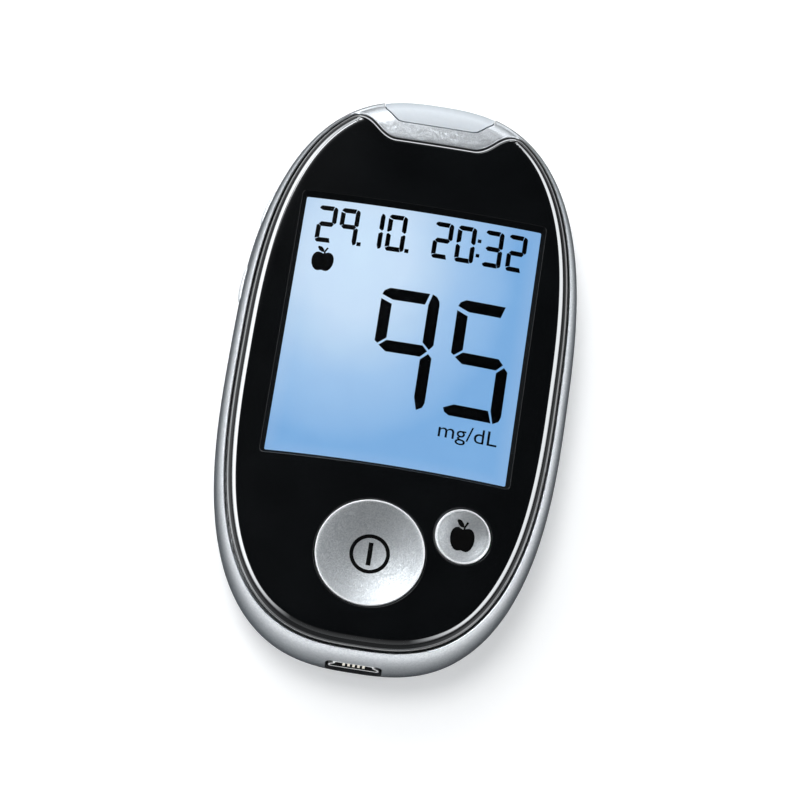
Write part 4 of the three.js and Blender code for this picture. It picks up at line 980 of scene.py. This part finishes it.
def apple_polygons(place, width, height):
    """A whole apple with two shoulders, a dip at the top and a small dip below, a stem and a leaf."""
    side = [(0.0, 0.40), (0.10, 0.455), (0.22, 0.49), (0.34, 0.46), (0.44, 0.35), (0.495, 0.18), (0.5, 0.0),
            (0.47, -0.18), (0.40, -0.34), (0.30, -0.455), (0.20, -0.5), (0.10, -0.485), (0.0, -0.455)]
    body = side + [(-x, y) for x, y in side[-2:0:-1]]
    stem = [(-0.01, 0.38), (0.05, 0.38), (0.085, 0.52), (0.19, 0.72), (0.11, 0.75), (0.015, 0.55)]
    leaf = [(0.03, 0.50), (-0.01, 0.64), (-0.12, 0.77), (-0.27, 0.80), (-0.30, 0.72), (-0.22, 0.58),
            (-0.1, 0.50)]
    return [[(place[0] + x * width, place[1] + y * height) for x, y in part] for part in (body, stem, leaf)]


def flat_form(polygons):
    form = bmesh.new()
    for polygon in polygons:
        form.faces.new([form.verts.new((x * MM, y * MM, 0.0)) for x, y in polygon])
    return form


def merged(form):
    bmesh.ops.remove_doubles(form, verts=form.verts, dist=0.002 * MM)
    return form


def unit_letters():
    """The unit of the reading as flat letters."""
    curve = bpy.data.curves.new("unit_letters", "FONT")
    curve.body = "mg/dL"
    words = put_in_scene("unit_letters", curve)
    form = open_form(plain_mesh(words))
    bpy.data.objects.remove(words)
    xs = [vert.co.x for vert in form.verts]
    left, right = min(xs), max(xs)
    cap = max(vert.co.y for vert in form.verts)
    for vert in form.verts:
        x = UNIT_LEFT + (vert.co.x - left) / (right - left) * UNIT_WIDTH
        y = UNIT_LOW + vert.co.y / cap * UNIT_CAP
        vert.co = (x * MM, y * MM, 0.0)
    return merged(form)


def print_on(name, form, height_at, material, thickness=0.05, step_mm=1.2):
    """Lay a flat outline on a curved surface as a thin raised skin."""
    spots = [vert.co.x / MM for vert in form.verts]
    cut = math.floor(min(spots) / step_mm) * step_mm
    while cut < max(spots):
        cut += step_mm
        bmesh.ops.bisect_plane(form, geom=form.verts[:] + form.edges[:] + form.faces[:],
                               plane_co=(cut * MM, 0, 0), plane_no=(1, 0, 0), dist=0.01 * MM)
    bmesh.ops.recalc_face_normals(form, faces=form.faces)
    flat = form.faces[:]
    if flat[0].normal.z < 0:
        bmesh.ops.reverse_faces(form, faces=flat)
    grown = bmesh.ops.extrude_face_region(form, geom=flat)
    raised = {item for item in grown["geom"] if isinstance(item, bmesh.types.BMVert)}
    for vert in form.verts:
        surface = height_at(vert.co.x / MM, vert.co.y / MM)
        vert.co.z = (surface + (thickness if vert in raised else 0.0)) * MM
    bmesh.ops.recalc_face_normals(form, faces=form.faces)
    mesh = bpy.data.meshes.new(name)
    close_form(form, mesh)
    mesh.materials.append(material)
    return put_in_scene(name, mesh)


def join_pieces(name, pieces):
    """One mesh from several pieces, which are used up."""
    mesh = bpy.data.meshes.new(name)
    mesh.materials.append(pieces[0].data.materials[0])
    close_form(open_form(*(piece.data for piece in pieces)), mesh)
    for piece in pieces:
        bpy.data.objects.remove(piece)
    return put_in_scene(name, mesh)


def on_panel(x, y):
    return float(crown_height(x, y)) - PANEL_DROP - 0.01


reading = [polygon for character, left in READING_NUMERALS
           for polygon in numeral(character, left, READING_TOP, READING_HEIGHT)]
row = [polygon for character, left in ROW_NUMERALS
       for polygon in numeral(character, left, ROW_TOP, ROW_HEIGHT, ROW_WEIGHT)]
row += [square(*dot) for dot in ROW_DOTS]
segments = join_pieces("display_segments", [
    print_on(name, form, on_panel, segment_black) for name, form in (
        ("reading", flat_form(reading)), ("row", flat_form(row)),
        ("sign", flat_form(apple_polygons(SIGN_PLACE, *SIGN_SIZE))), ("unit", unit_letters()))])
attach(segments, "meter")

clear_plastic = tune(finish("clear_pane", (0.96, 0.98, 1.0), 0.02, scale=300.0, depth=0.0000005, tint=0.01),
                     {"Transmission Weight": 1.0, "IOR": 1.3})
pane = make_piece("display_pane_clear", *crown_slab(PANE_MARGIN, PANE_DROP, PANE_THICKNESS), clear_plastic)
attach(pane, "meter")
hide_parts("display_window")

# Faceplate
# A glossy black plate, crowned across, with a bevelled window and two round holes. It drops into the
# recess of the silver frame and leaves a fine dark seam.
EDGE_ROUND = 0.22
PLATE_RINGS = (0.42, 0.6, 0.8, 0.95, 1.02, 1.22, 1.42, 1.5, 1.62, 1.8, 2.0, 2.3, 2.6)
FLAT_INSET = 2.6
WINDOW_STEPS = 30
WINDOW_CORNER = 0.25
WINDOW_LAND = 0.74
WINDOW_BEVEL = ((WINDOW_LAND, 0.0), (0.70, 0.012), (0.66, 0.05), (0.10, 1.05), (0.0, 1.1), (0.0, PLATE))
TOP_SPACING = 1.1
UNDERSIDE_SPACING = 3.0
HOLE_ROUND = 0.16
BUTTON_GAP = 0.2
POWER_X, POWER_Y, POWER_RADIUS = -0.2, -29.5, 8.12
MEAL_X, MEAL_Y, MEAL_RADIUS = 13.05, -24.63, 4.2
MEAL_TOP = float(crown_height(MEAL_X, MEAL_Y))
MEAL_TILT = math.atan(2 * (CROWN_SAG - CROWN_TAPER * MEAL_Y) * MEAL_X / RIM_HALF_WIDTH ** 2)
HOLES = ((POWER_X, POWER_Y, POWER_RADIUS, 0.0), (MEAL_X, MEAL_Y, MEAL_RADIUS, MEAL_TILT))


def window_loop(margin):
    """Outline of the window and a margin. Its points match from one margin to the next."""
    corners = rounded_loop(WINDOW_HALF + margin, WINDOW_HALF_LENGTH + margin, WINDOW_CORNER + margin * 0.6,
                           (0, WINDOW_MIDDLE), steps=5)
    loop = []
    for index, (x, y) in enumerate(corners):
        next_x, next_y = corners[(index + 1) % len(corners)]
        steps = WINDOW_STEPS if index % 6 == 5 else 1
        loop += [(x + (next_x - x) * k / steps, y + (next_y - y) * k / steps) for k in range(steps)]
    return loop


def hole_loop(centre_x, centre_y, radius, tilt, count=96):
    """Where an upright or tilted round hole meets the crown, in plan."""
    loop = []
    centre_z = float(crown_height(centre_x, centre_y))
    for angle in circle_turns(count):
        side = radius * math.cos(angle)
        x0, z0 = centre_x + side * math.cos(tilt), centre_z - side * math.sin(tilt)
        y = centre_y + radius * math.sin(angle)
        lift = 0.0
        for _ in range(4):
            x = x0 + lift * math.sin(tilt)
            lift += float(crown_height(x, y)) - (z0 + lift * math.cos(tilt))
        loop.append((x0 + lift * math.sin(tilt), y))
    return loop


def inside(points, loop):
    """Even-odd test of many points against one loop."""
    xs, ys = points[:, 0], points[:, 1]
    result = np.zeros(len(points), bool)
    for index, (x1, y1) in enumerate(loop):
        x2, y2 = loop[(index + 1) % len(loop)]
        crosses = (y1 > ys) != (y2 > ys)
        at = (x2 - x1) * (ys - y1) / ((y2 - y1) or 1e-12) + x1
        result ^= crosses & (xs < at)
    return result


def distance_to(points, loop):
    """Least distance of each point to the corners of a loop."""
    away = points[:, None, :2] - np.array(loop)[None, :, :2]
    return np.min(np.hypot(away[..., 0], away[..., 1]), 1)


def plate_sheet(outer, holes, spacing):
    """Plan triangles between an outer loop and holes, with a grid of points inside."""
    grid = np.array([(x, y) for x in np.arange(-25, 25, spacing) for y in np.arange(-45, 45, spacing)])
    keep = inside(grid, outer) & (distance_to(grid, outer) > spacing * 0.6)
    for hole in holes:
        keep &= ~inside(grid, hole) & (distance_to(grid, hole) > spacing * 0.6)
    points, edges = [], []
    for loop in [outer] + holes:
        start = len(points)
        points += [Vector(point) for point in loop]
        edges += [(start + k, start + (k + 1) % len(loop)) for k in range(len(loop))]
    points += [Vector(point) for point in grid[keep]]
    plan, _, triangles, *_ = delaunay_2d_cdt(points, edges, [], 0, 1e-6)
    spots = np.array([tuple(point) for point in plan])
    middles = np.array([spots[list(triangle)].mean(0) for triangle in triangles])
    valid = inside(middles, outer)
    for hole in holes:
        valid &= ~inside(middles, hole)
    return spots, [tuple(triangle) for triangle, good in zip(triangles, valid) if good]


def plan_ring(inset):
    radius = face_radius(ANGLES, inset)
    return list(zip(radius * np.cos(ANGLES), radius * np.sin(ANGLES)))


def lifted(loop, drop=0.0):
    return [(x, y, float(top_height(x, y)) - drop) for x, y in loop]


def faceplate_form():
    """Points and faces of the plate: its rim, window, holes, crown and underside."""
    points, faces = [], []

    def add(part_points, part_faces):
        start = len(points)
        points.extend(part_points)
        faces.extend(tuple(start + index for index in face) for face in part_faces)

    edge = plan_ring(SEAM / 2)
    rim = [lifted(edge, PLATE)]
    for turn in map(math.radians, (90, 68, 45, 22, 0)):
        rim.append(lifted(plan_ring(SEAM / 2 + EDGE_ROUND * (1 - math.sin(turn))),
                          EDGE_ROUND * (1 - math.cos(turn))))
    rim += [lifted(plan_ring(inset)) for inset in PLATE_RINGS]
    add(*skin(rim))
    add(*skin([lifted(window_loop(margin), drop) for margin, drop in WINDOW_BEVEL]))
    top_holes, low_holes = [window_loop(WINDOW_LAND)], [window_loop(0.0)]
    for x, y, radius, tilt in HOLES:
        loops = []
        for turn in map(math.radians, (0, 30, 60, 90)):
            grow = BUTTON_GAP + HOLE_ROUND * (1 - math.sin(turn))
            loops.append(lifted(hole_loop(x, y, radius + grow, tilt), HOLE_ROUND * (1 - math.cos(turn))))
        low_holes.append(hole_loop(x, y, radius + BUTTON_GAP, tilt))
        top_holes.append([(px, py) for px, py, _ in loops[0]])
        add(*skin(loops + [lifted(low_holes[-1], PLATE)]))
    spots, triangles = plate_sheet([(px, py) for px, py, _ in rim[-1]], top_holes, TOP_SPACING)
    add(lifted(spots), triangles)
    spots, triangles = plate_sheet(edge, low_holes, UNDERSIDE_SPACING)
    add(lifted(spots, PLATE), triangles)
    return points, faces


def slack(x, y, outline):
    """How far inside an outline a point lies, at most 4 mm."""
    low, high = 0.0, 4.0
    for _ in range(16):
        middle = (low + high) / 2
        if float(outline(math.atan2(y, x), middle)) > math.hypot(x, y):
            low = middle
        else:
            high = middle
    return low


def face_slack(x, y):
    return slack(x, y, face_radius)


piano_black = finish("piano_black", (0.0035, 0.004, 0.0045), 0.045, scale=120.0, depth=0.0000006, tint=0.2)
faceplate = make_piece("faceplate_gloss", *faceplate_form(), piano_black, smooth_angle=40)
faceplate.data.materials.append(tune(
    finish("window_bevel_satin_black", (0.003, 0.0035, 0.004), 0.55, scale=2500.0, depth=0.000004),
    {"Specular IOR Level": 0.05}))
faceplate.data.materials.append(tune(
    finish("polished_edge_black", (0.0035, 0.004, 0.0045), 0.06, scale=120.0, depth=0.0000004, tint=0.2),
    {"IOR": 2.0, "Specular IOR Level": 1.0}))
PLAIN_FACES, BEVEL_FACES, EDGE_FACES = 0, 1, 2
EDGE_DEPTH = 0.25
LAND_WIDTH = 0.44
CHAMFER_INSETS = (0.94, 1.62)
BEVEL_WIDTH = 0.64
BEVEL_TOP = 0.04


def plate_finish_at(x, y, z):
    """Which finish a face of the plate has, by its middle."""
    top = float(top_height(x, y))
    near, far = CHAMFER_INSETS
    if z > top - EDGE_DEPTH and (face_slack(x, y) < LAND_WIDTH or near < slack(x, y, rim_radius) < far):
        return EDGE_FACES
    off_window = max(abs(x) - WINDOW_HALF, abs(y - WINDOW_MIDDLE) - WINDOW_HALF_LENGTH)
    if -0.01 < off_window < BEVEL_WIDTH and top - PLATE + 0.01 < z < top - BEVEL_TOP:
        return BEVEL_FACES
    return PLAIN_FACES


for polygon in faceplate.data.polygons:
    polygon.material_index = plate_finish_at(*(c / MM for c in polygon.center))

# The rim of the plate is a narrow land, a chamfer and a soft turn into the crown
EDGE_TILTS = [(0.13, 52.0), (0.2, 43.0), (0.35, 38.0), (0.42, 36.0), (0.8, 35.4), (0.95, 33.0), (1.5, 29.6),
              (1.62, 9.0), (1.8, 6.0), (2.3, 3.0), (FLAT_INSET, 0.0)]
EDGE_BLEND = [(1.7, 1.0), (FLAT_INSET, 0.0)]
BRIDGE_TILTS = [(0.13, 40.0), (0.2, 33.0), (0.36, 30.0), (0.42, 26.0), (0.6, 4.0)]
BRIDGE_EDGE = 0.61
BRIDGE_FROM_Y = 30.0
OFF_RIM = 0.5
ROLLED_DEPTH = 0.3
SURFACE_MATCH = 0.006


def read_off(table, place):
    return float(np.interp(place, *zip(*table)))


def slope_of(height, x, y, step=0.05):
    """How fast a height changes along x and along y."""
    return (float(height(x + step, y) - height(x - step, y)) / (2 * step),
            float(height(x, y + step) - height(x, y - step)) / (2 * step))


def leaning(out_x, out_y, degrees):
    """Normal that leans outwards from upright by an angle."""
    tilt, length = math.radians(degrees), math.hypot(out_x, out_y) or 1.0
    return Vector((out_x / length * math.sin(tilt), out_y / length * math.sin(tilt), math.cos(tilt)))


def plate_normal(x, y, z):
    """Normal of the plate at a point, or nothing where the mesh's own is right."""
    out_x = math.copysign((abs(x) / RIM_HALF_WIDTH) ** (RIM_POWER - 1) / RIM_HALF_WIDTH, x)
    out_y = math.copysign((abs(y) / RIM_HALF_LENGTH) ** (RIM_POWER - 1) / RIM_HALF_LENGTH, y)
    reach = math.hypot(x, y) or 1.0
    squareness = (out_x * x + out_y * y) / ((math.hypot(out_x, out_y) or 1.0) * reach)
    inset = (float(rim_radius(math.atan2(y, x))) - reach) * squareness
    off_top = abs(z - float(top_height(x, y)))
    on_top = off_top < ROLLED_DEPTH and inset > 0.3
    edge = face_slack(x, y) if on_top and y > BRIDGE_FROM_Y else inset
    if edge < BRIDGE_EDGE and inset - edge > OFF_RIM:
        in_x, in_y = slope_of(face_slack, x, y)
        return leaning(-in_x, -in_y, read_off(BRIDGE_TILTS, edge))
    crown_x, crown_y = slope_of(crown_height, x, y)
    plain = Vector((-crown_x, -crown_y, 1.0)).normalized()
    if on_top and inset <= FLAT_INSET:
        share = read_off(EDGE_BLEND, inset)
        even = leaning(out_x, out_y, read_off(EDGE_TILTS, inset))
        return (even * share + plain * (1 - share)).normalized()
    return plain if on_top and off_top < SURFACE_MATCH else Vector()


faceplate.data.normals_split_custom_set_from_vertices(
    [tuple(plate_normal(*(c / MM for c in vert.co))) for vert in faceplate.data.vertices])
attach(faceplate, "meter")
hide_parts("faceplate")

# Round buttons
# Two dished caps in satin silver lacquer with turned rims; each rim's bright line is a painted highlight, a
# near-white mostly matt finish.
# The large one carries a ring and a bar, the small one an apple, both printed in black.
CAP_RIM = 0.26
CAP_WALL = 1.1
CAP_FLOOR = 1.3
DISH_STEPS = 16
POWER_DISH = 1.1
POWER_DEPTH = 4.0
POWER_PLACE = (POWER_X, POWER_Y, CROWN_HEIGHT)
MEAL_DISH = 0.5
MEAL_DEPTH = 3.6
MEAL_PLACE = (MEAL_X, MEAL_Y, MEAL_TOP)
PRINT_THICKNESS = 0.02
PRINT_LIFT = 0.004
RING_RADIUS, RING_WIDTH = 3.0, 0.56
BAR_HALF_WIDTH, BAR_HALF_LENGTH = 0.34, 1.75
APPLE_PLACE = (0.0, -0.35)
APPLE_SIZE = (3.7, 3.7)
button_silver = silver_finish("satin_silver", (0.70, 0.73, 0.75), (0.88, 0.90, 0.91), 0.46, 1.0, 6000.0, 0.1)
# Painted highlight: the turned rim is coloured near white and mostly matt, so it shows as a bright line under
# any light.
rim_painted_highlight = finish("rim_near_white_painted_highlight", (0.95, 0.96, 0.97), 0.25, 0.3, scale=2500.0, depth=0.000002,
                    tint=0.02)
print_black = tune(finish("printed_black", (0.003, 0.003, 0.003), 0.5, scale=900.0, depth=0.000001),
                   {"Specular IOR Level": 0.02})


def cap_profile(radius, dish, depth):
    """Half section of a dished cap from the middle of the dish to the middle of the foot."""
    edge = radius - CAP_RIM
    profile = [(edge * k / DISH_STEPS, -dish * (1 - (k / DISH_STEPS) ** 2)) for k in range(DISH_STEPS)]
    profile += [(edge, -0.04), (edge + 0.05, -0.01), (edge + 0.1, 0.0), (radius - 0.1, 0.0),
                (radius - 0.05, -0.02), (radius - 0.015, -0.06), (radius, -0.14), (radius, -depth)]
    return profile + [(radius - CAP_WALL, -depth), (radius - CAP_WALL, -dish - CAP_FLOOR),
                      (0.0, -dish - CAP_FLOOR)]


def set_piece(piece, tilt, place):
    """Lean a piece about y and move it to its place, in its mesh."""
    piece.data.transform(Matrix.Translation(Vector(place) * MM) @ Matrix.Rotation(tilt, 4, "Y"))


def button_cap(name, radius, dish, depth, sides, tilt, place):
    """Turned cap, set in place, with the near-white rim finish outside its dish, a painted highlight."""
    cap = make_piece(name, *lathe(cap_profile(radius, dish, depth), sides), button_silver)
    set_piece(cap, tilt, place)
    cap.data.materials.append(rim_painted_highlight)
    for polygon in cap.data.polygons:
        x, y, _ = (c / MM for c in polygon.center)
        if math.hypot(x - place[0], y - place[1]) > radius - CAP_RIM - 0.02:
            polygon.material_index = 1
    return cap


def print_in_dish(name, polygons, radius, dish, step_mm=50):
    """Printed sign that follows the bottom of a dish."""
    edge = radius - CAP_RIM
    return print_on(name, merged(flat_form(polygons)),
                    lambda x, y: -dish * (1 - (x * x + y * y) / edge ** 2) + PRINT_LIFT,
                    print_black, PRINT_THICKNESS, step_mm)


def ring_quads(radius, width, count=96):
    """A flat ring as quads."""
    return [[((radius - offset) * math.cos(2 * math.pi * step / count),
              (radius - offset) * math.sin(2 * math.pi * step / count))
             for offset, step in ((0, first), (0, first + 1), (width, first + 1), (width, first))]
            for first in range(count)]


def bar_quads(half_width, half_length, steps=8):
    """A flat upright bar as quads."""
    ys = [-half_length + 2 * half_length * k / steps for k in range(steps + 1)]
    return [[(-half_width, low), (half_width, low), (half_width, high), (-half_width, high)]
            for low, high in zip(ys, ys[1:])]


power_cap = button_cap("power_button_cap", POWER_RADIUS, POWER_DISH, POWER_DEPTH, 160, 0.0, POWER_PLACE)
power_print = join_pieces("power_button_print", [
    print_in_dish("ring", ring_quads(RING_RADIUS, RING_WIDTH), POWER_RADIUS, POWER_DISH),
    print_in_dish("bar", bar_quads(BAR_HALF_WIDTH, BAR_HALF_LENGTH), POWER_RADIUS, POWER_DISH)])
set_piece(power_print, 0.0, POWER_PLACE)
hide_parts("power_button")
meal_cap = button_cap("meal_button_cap", MEAL_RADIUS, MEAL_DISH, MEAL_DEPTH, 120, MEAL_TILT, MEAL_PLACE)
meal_print = print_in_dish("meal_button_print", apple_polygons(APPLE_PLACE, *APPLE_SIZE), MEAL_RADIUS,
                           MEAL_DISH, step_mm=0.4)
set_piece(meal_print, MEAL_TILT, MEAL_PLACE)
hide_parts("meal_button")
for piece, body in ((power_cap, "power_button"), (power_print, "power_button"),
                    (meal_cap, "meal_button"), (meal_print, "meal_button")):
    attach(piece, body)

# Side buttons
# Two short rocker caps, moulded and sprayed in the same silver lacquer. They stand in the slots of
# the pod on the left wall and press on the side switches.
SIDE_ROUND = 0.35
END_ROUND = 0.2


def side_button(name, middle_y, body):
    def outer(y, z):
        along = abs(y - middle_y) / BUTTON_HALF_LENGTH
        across = abs(z - POD_MIDDLE) / BUTTON_HALF_HEIGHT
        crown = BUTTON_PROUD * (1 - 0.45 * along ** 2) - SIDE_ROUND * across ** 6 - END_ROUND * along ** 12
        return -wall_reach(y, wall_inset(z)) - crown, y, z

    def inner(y, z):
        return -wall_reach(y, WALL + 0.5), y, z

    rows = np.linspace(middle_y - BUTTON_HALF_LENGTH, middle_y + BUTTON_HALF_LENGTH, 25)
    heights = np.linspace(BUTTON_LOW, BUTTON_HIGH, 13)
    piece = make_piece(name, *two_skins(rows, heights, outer, inner), button_silver)
    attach(piece, body)
    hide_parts(body)


side_button("up_button_cap", UP_BUTTON_Y, "up_button")
side_button("down_button_cap", DOWN_BUTTON_Y, "down_button")

# Data socket
# A pressed steel shell, wide below and narrower above, round a black tongue with gold contacts. It
# stands on the board and looks out of the mouth in the near end.
SHELL_WALL = 0.35
SHELL_DEEP = 8.6
SHELL_BACK = 0.4
SHELL_LIP = 0.1
SHELL_SHARP = 50
CONTACT_PITCH = 0.74
CONTACT_HALF_WIDTH = 0.19
CONTACT_SIDE = [(0.08, -0.6), (0.08, 0.8), (0.18, 0.95), (5.0, 0.95), (5.0, 0.78), (0.36, 0.78), (0.3, 0.7),
                (0.3, -0.6)]


def shell_loop(grow):
    """Outline of the shell in x and z, with rounded corners."""
    low, high = USB_LOW - grow, USB_LOW + USB_HEIGHT + grow
    wide, narrow = USB_HALF_WIDTH + grow, USB_ROOF_HALF + grow
    return both_sides([(wide - 0.35, low), (wide - 0.1, low + 0.1), (wide, low + 0.35), (wide, USB_LOW + 1.0),
                       (wide - 0.1, USB_LOW + 1.25), (narrow + 0.1, USB_LOW + 1.75), (narrow, USB_LOW + 2.0),
                       (narrow, high - 0.35), (narrow - 0.1, high - 0.1), (narrow - 0.35, high)])


socket_steel = finish("bright_tin_plate", (0.93, 0.93, 0.92), 0.3, 0.7, scale=1500.0, depth=0.000002)
# Painted shade: the inside of the shell is the same tin plate as the outside, coloured near black for the
# shade deep in the socket.
shell_inside_painted_shade = finish("tin_plate_painted_shade", (0.03, 0.03, 0.03), 0.4, 0.6, scale=1500.0, depth=0.000002)
shell = make_piece("usb_shell_pressed", *along_y(shell_loop(0.0), USB_FRONT_Y, USB_FRONT_Y + SHELL_DEEP),
                   socket_steel)
carve(shell, along_y(shell_loop(-SHELL_WALL), USB_FRONT_Y - 1, USB_FRONT_Y + SHELL_DEEP - SHELL_BACK),
      own_finish=shell_inside_painted_shade)
settle(shell, 32)
break_edges(shell, SHELL_LIP, SHELL_SHARP)
smooth(shell, SHELL_SHARP)
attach(shell, "meter")
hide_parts("usb_shell")
tongue = dressed_copy("usb_tongue", "usb_tongue_black", chip_black)
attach(tongue, "meter")
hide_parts("usb_tongue")
pale_gold = finish("pale_gold_plating", (0.93, 0.87, 0.74), 0.3, 0.6, scale=2500.0, depth=0.000002)
contact = make_piece("contact_shape", *between(*(
    [(x, USB_FRONT_Y + y, USB_MIDDLE + z) for y, z in CONTACT_SIDE]
    for x in (-CONTACT_HALF_WIDTH, CONTACT_HALF_WIDTH))), pale_gold)
pads = copies_at("usb_contacts", contact, [(CONTACT_PITCH * k, 0.0) for k in (-2, -1, 0, 1, 2)], pale_gold)
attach(pads, "meter")

# Table, light and camera
# The meter lies on a matt white table under a broad soft lamp. Soft strips stand at the sides and
# behind, a soft box stands up to the left, and the room is dark overhead.
HALF_TABLE = 1.2
TABLE_DROP = 0.00001
TABLE_WHITE = (0.84, 0.84, 0.84, 1.0)
TABLE_LIFT = 0.26


def table_finish():
    """Matt white that the camera and mirrors see a little lighter than it lights the meter."""
    material = start_material("white_table", {
        "Base Color": TABLE_WHITE, "Roughness": 0.9, "Specular IOR Level": 0.0,
        "Emission Color": (1.0, 1.0, 1.0, 1.0)})
    tree = material.node_tree
    rays = add_node(tree, "ShaderNodeLightPath").outputs
    mirrored = calculate(tree, "MAXIMUM", rays["Is Glossy Ray"], rays["Is Transmission Ray"])
    seen = calculate(tree, "MAXIMUM", rays["Is Camera Ray"], mirrored)
    return tune(material, {"Emission Strength": calculate(tree, "MULTIPLY", seen, TABLE_LIFT)})


table_mesh = bpy.data.meshes.new("table_top")
table_mesh.from_pydata([(side_x * HALF_TABLE, side_y * HALF_TABLE, 0.0)
                        for side_x, side_y in ((-1, -1), (1, -1), (1, 1), (-1, 1))], [], [(0, 1, 2, 3)])
table_mesh.materials.append(table_finish())
table = put_in_scene("table_top", table_mesh)
table.location.z = -TABLE_DROP

# The studio is drawn by the slope of a glossy surface that shows it from above the lower end
LEAN = (0.0, -0.33, 0.944)
ROOM_STOPS = [(0.0, 0.45), (0.7, 0.45), (0.83, 0.5), (0.87, 0.42), (0.92, 0.15), (0.96, 0.04), (1.0, 0.01)]
NEAR_STOPS = [(0.0, 0.0), (0.4, 0.0), (0.75, 0.85), (1.0, 0.85)]
NEAR_HEIGHTS = [(0.0, 0.0), (0.76, 0.0), (0.85, 1.0), (1.0, 1.0)]
CORNER_STOPS = [(0.0, 0.0), (0.86, 0.0), (0.95, 0.75), (1.0, 0.8)]
CORNER_HEIGHTS = [(0.0, 1.0), (0.80, 1.0), (0.90, 0.6), (0.96, 0.0), (1.0, 0.0)]
STRIP_STOPS = [(0.0, 0.0), (0.725, 0.0), (0.735, 0.3), (0.79, 0.3), (0.80, 0.0), (0.822, 0.0), (0.83, 1.0),
               (0.876, 1.0), (0.884, 0.0), (1.0, 0.0)]
SIDE_STOPS = [(0.0, 1.0), (0.07, 1.0), (0.2, 0.4), (0.30, 0.0), (0.62, 0.0), (0.86, 0.85), (1.0, 0.85)]
BEHIND_STOPS = [(0.0, 0.0), (0.8, 0.0), (0.93, 0.65), (1.0, 0.7)]
STRIP_STRENGTH = 4.2
BOX_AXIS = (-0.285, 0.645, 0.709)
BOX_STOPS = [(0.0, 0.0), (0.93, 0.0), (0.955, 0.04), (0.972, 0.3), (0.985, 1.0), (1.0, 1.0)]
BOX_STRENGTH = 5.2
ROOM_TINT = (0.97, 1.0, 1.03)

world = bpy.data.worlds.new("studio")
bpy.context.scene.world = world
world.use_nodes = True
sky = world.node_tree


def sky_step(operation, *values, vector=False):
    return calculate(sky, operation, *values, vector=vector)


def sky_ramp(source, stops):
    return colour_ramp(sky, source, stops)


direction = add_node(sky, "ShaderNodeTexCoord").outputs["Generated"]
slope = sky_step("NORMALIZE", sky_step("ADD", direction, LEAN, vector=True), vector=True)
axes = add_node(sky, "ShaderNodeSeparateXYZ", {"Vector": slope}).outputs
upright = axes["Z"]
flatness = sky_step("SQRT", sky_step("SUBTRACT", 1.001, sky_step("POWER", upright, 2.0)))
sideways = sky_step("DIVIDE", axes["X"], flatness)
lengthways = sky_step("DIVIDE", axes["Y"], flatness)
near_end = sky_step("MULTIPLY_ADD", sideways, 0.25, sky_step("MULTIPLY_ADD", lengthways, -0.45, 0.5))
near_dark = sky_step("MULTIPLY", sky_ramp(near_end, NEAR_STOPS), sky_ramp(upright, NEAR_HEIGHTS))
far_corner = sky_step("MULTIPLY_ADD", sky_step("ADD", sideways, lengthways), 0.35, 0.5)
corner_dark = sky_step("MULTIPLY", sky_ramp(far_corner, CORNER_STOPS), sky_ramp(upright, CORNER_HEIGHTS))
room = sky_step("MULTIPLY", sky_ramp(upright, ROOM_STOPS),
                sky_step("SUBTRACT", 1.0, sky_step("MAXIMUM", near_dark, corner_dark)))
sides = sky_ramp(sky_step("MULTIPLY_ADD", sideways, 0.5, 0.5), SIDE_STOPS)
behind = sky_ramp(sky_step("MULTIPLY_ADD", lengthways, 0.5, 0.5), BEHIND_STOPS)
strips = sky_step("MULTIPLY", sky_step("MULTIPLY", sky_ramp(upright, STRIP_STOPS),
                                       sky_step("MAXIMUM", sides, behind)), STRIP_STRENGTH)
towards_box = sky_step("DOT_PRODUCT", direction, BOX_AXIS, vector=True)
box = sky_step("MULTIPLY", sky_ramp(towards_box, BOX_STOPS), BOX_STRENGTH)
level = sky_step("ADD", sky_step("ADD", room, strips), box)
feed(sky, sky.nodes["Background"], {"Color": scaled(sky, ROOM_TINT, level)})

lamp_data = bpy.data.lights.new("broad_lamp", "SUN")
lamp_data.energy = 1.1
lamp_data.angle = math.radians(24)
lamp = put_in_scene("broad_lamp", lamp_data)
lamp.rotation_euler = Vector((-0.2, 0.2, 0.96)).to_track_quat("Z", "Y").to_euler()
lamp.visible_glossy = False
lamp.visible_transmission = False

# The camera stands where the photograph's outline, window corners and round buttons put it
CAMERA_PLACE = (0.00069, -0.14954, 0.42922)
CAMERA_RIGHT = Vector((0.987984, 0.145909, 0.050965))
CAMERA_DOWN = Vector((0.154554, -0.932836, -0.325468))
CAMERA_FORWARD = Vector((0.000053, 0.329434, -0.944179))
camera_data = bpy.data.cameras.new("photo_camera")
camera_data.sensor_width = 36.0
camera_data.lens = 131.45
camera_data.clip_start = 0.01
camera = put_in_scene("photo_camera", camera_data)
turn = Matrix((CAMERA_RIGHT, -CAMERA_DOWN, -CAMERA_FORWARD)).transposed().to_4x4()
camera.matrix_world = Matrix.Translation(CAMERA_PLACE) @ turn
bpy.context.scene.camera = camera
bpy.context.scene.view_settings.view_transform = "Standard"
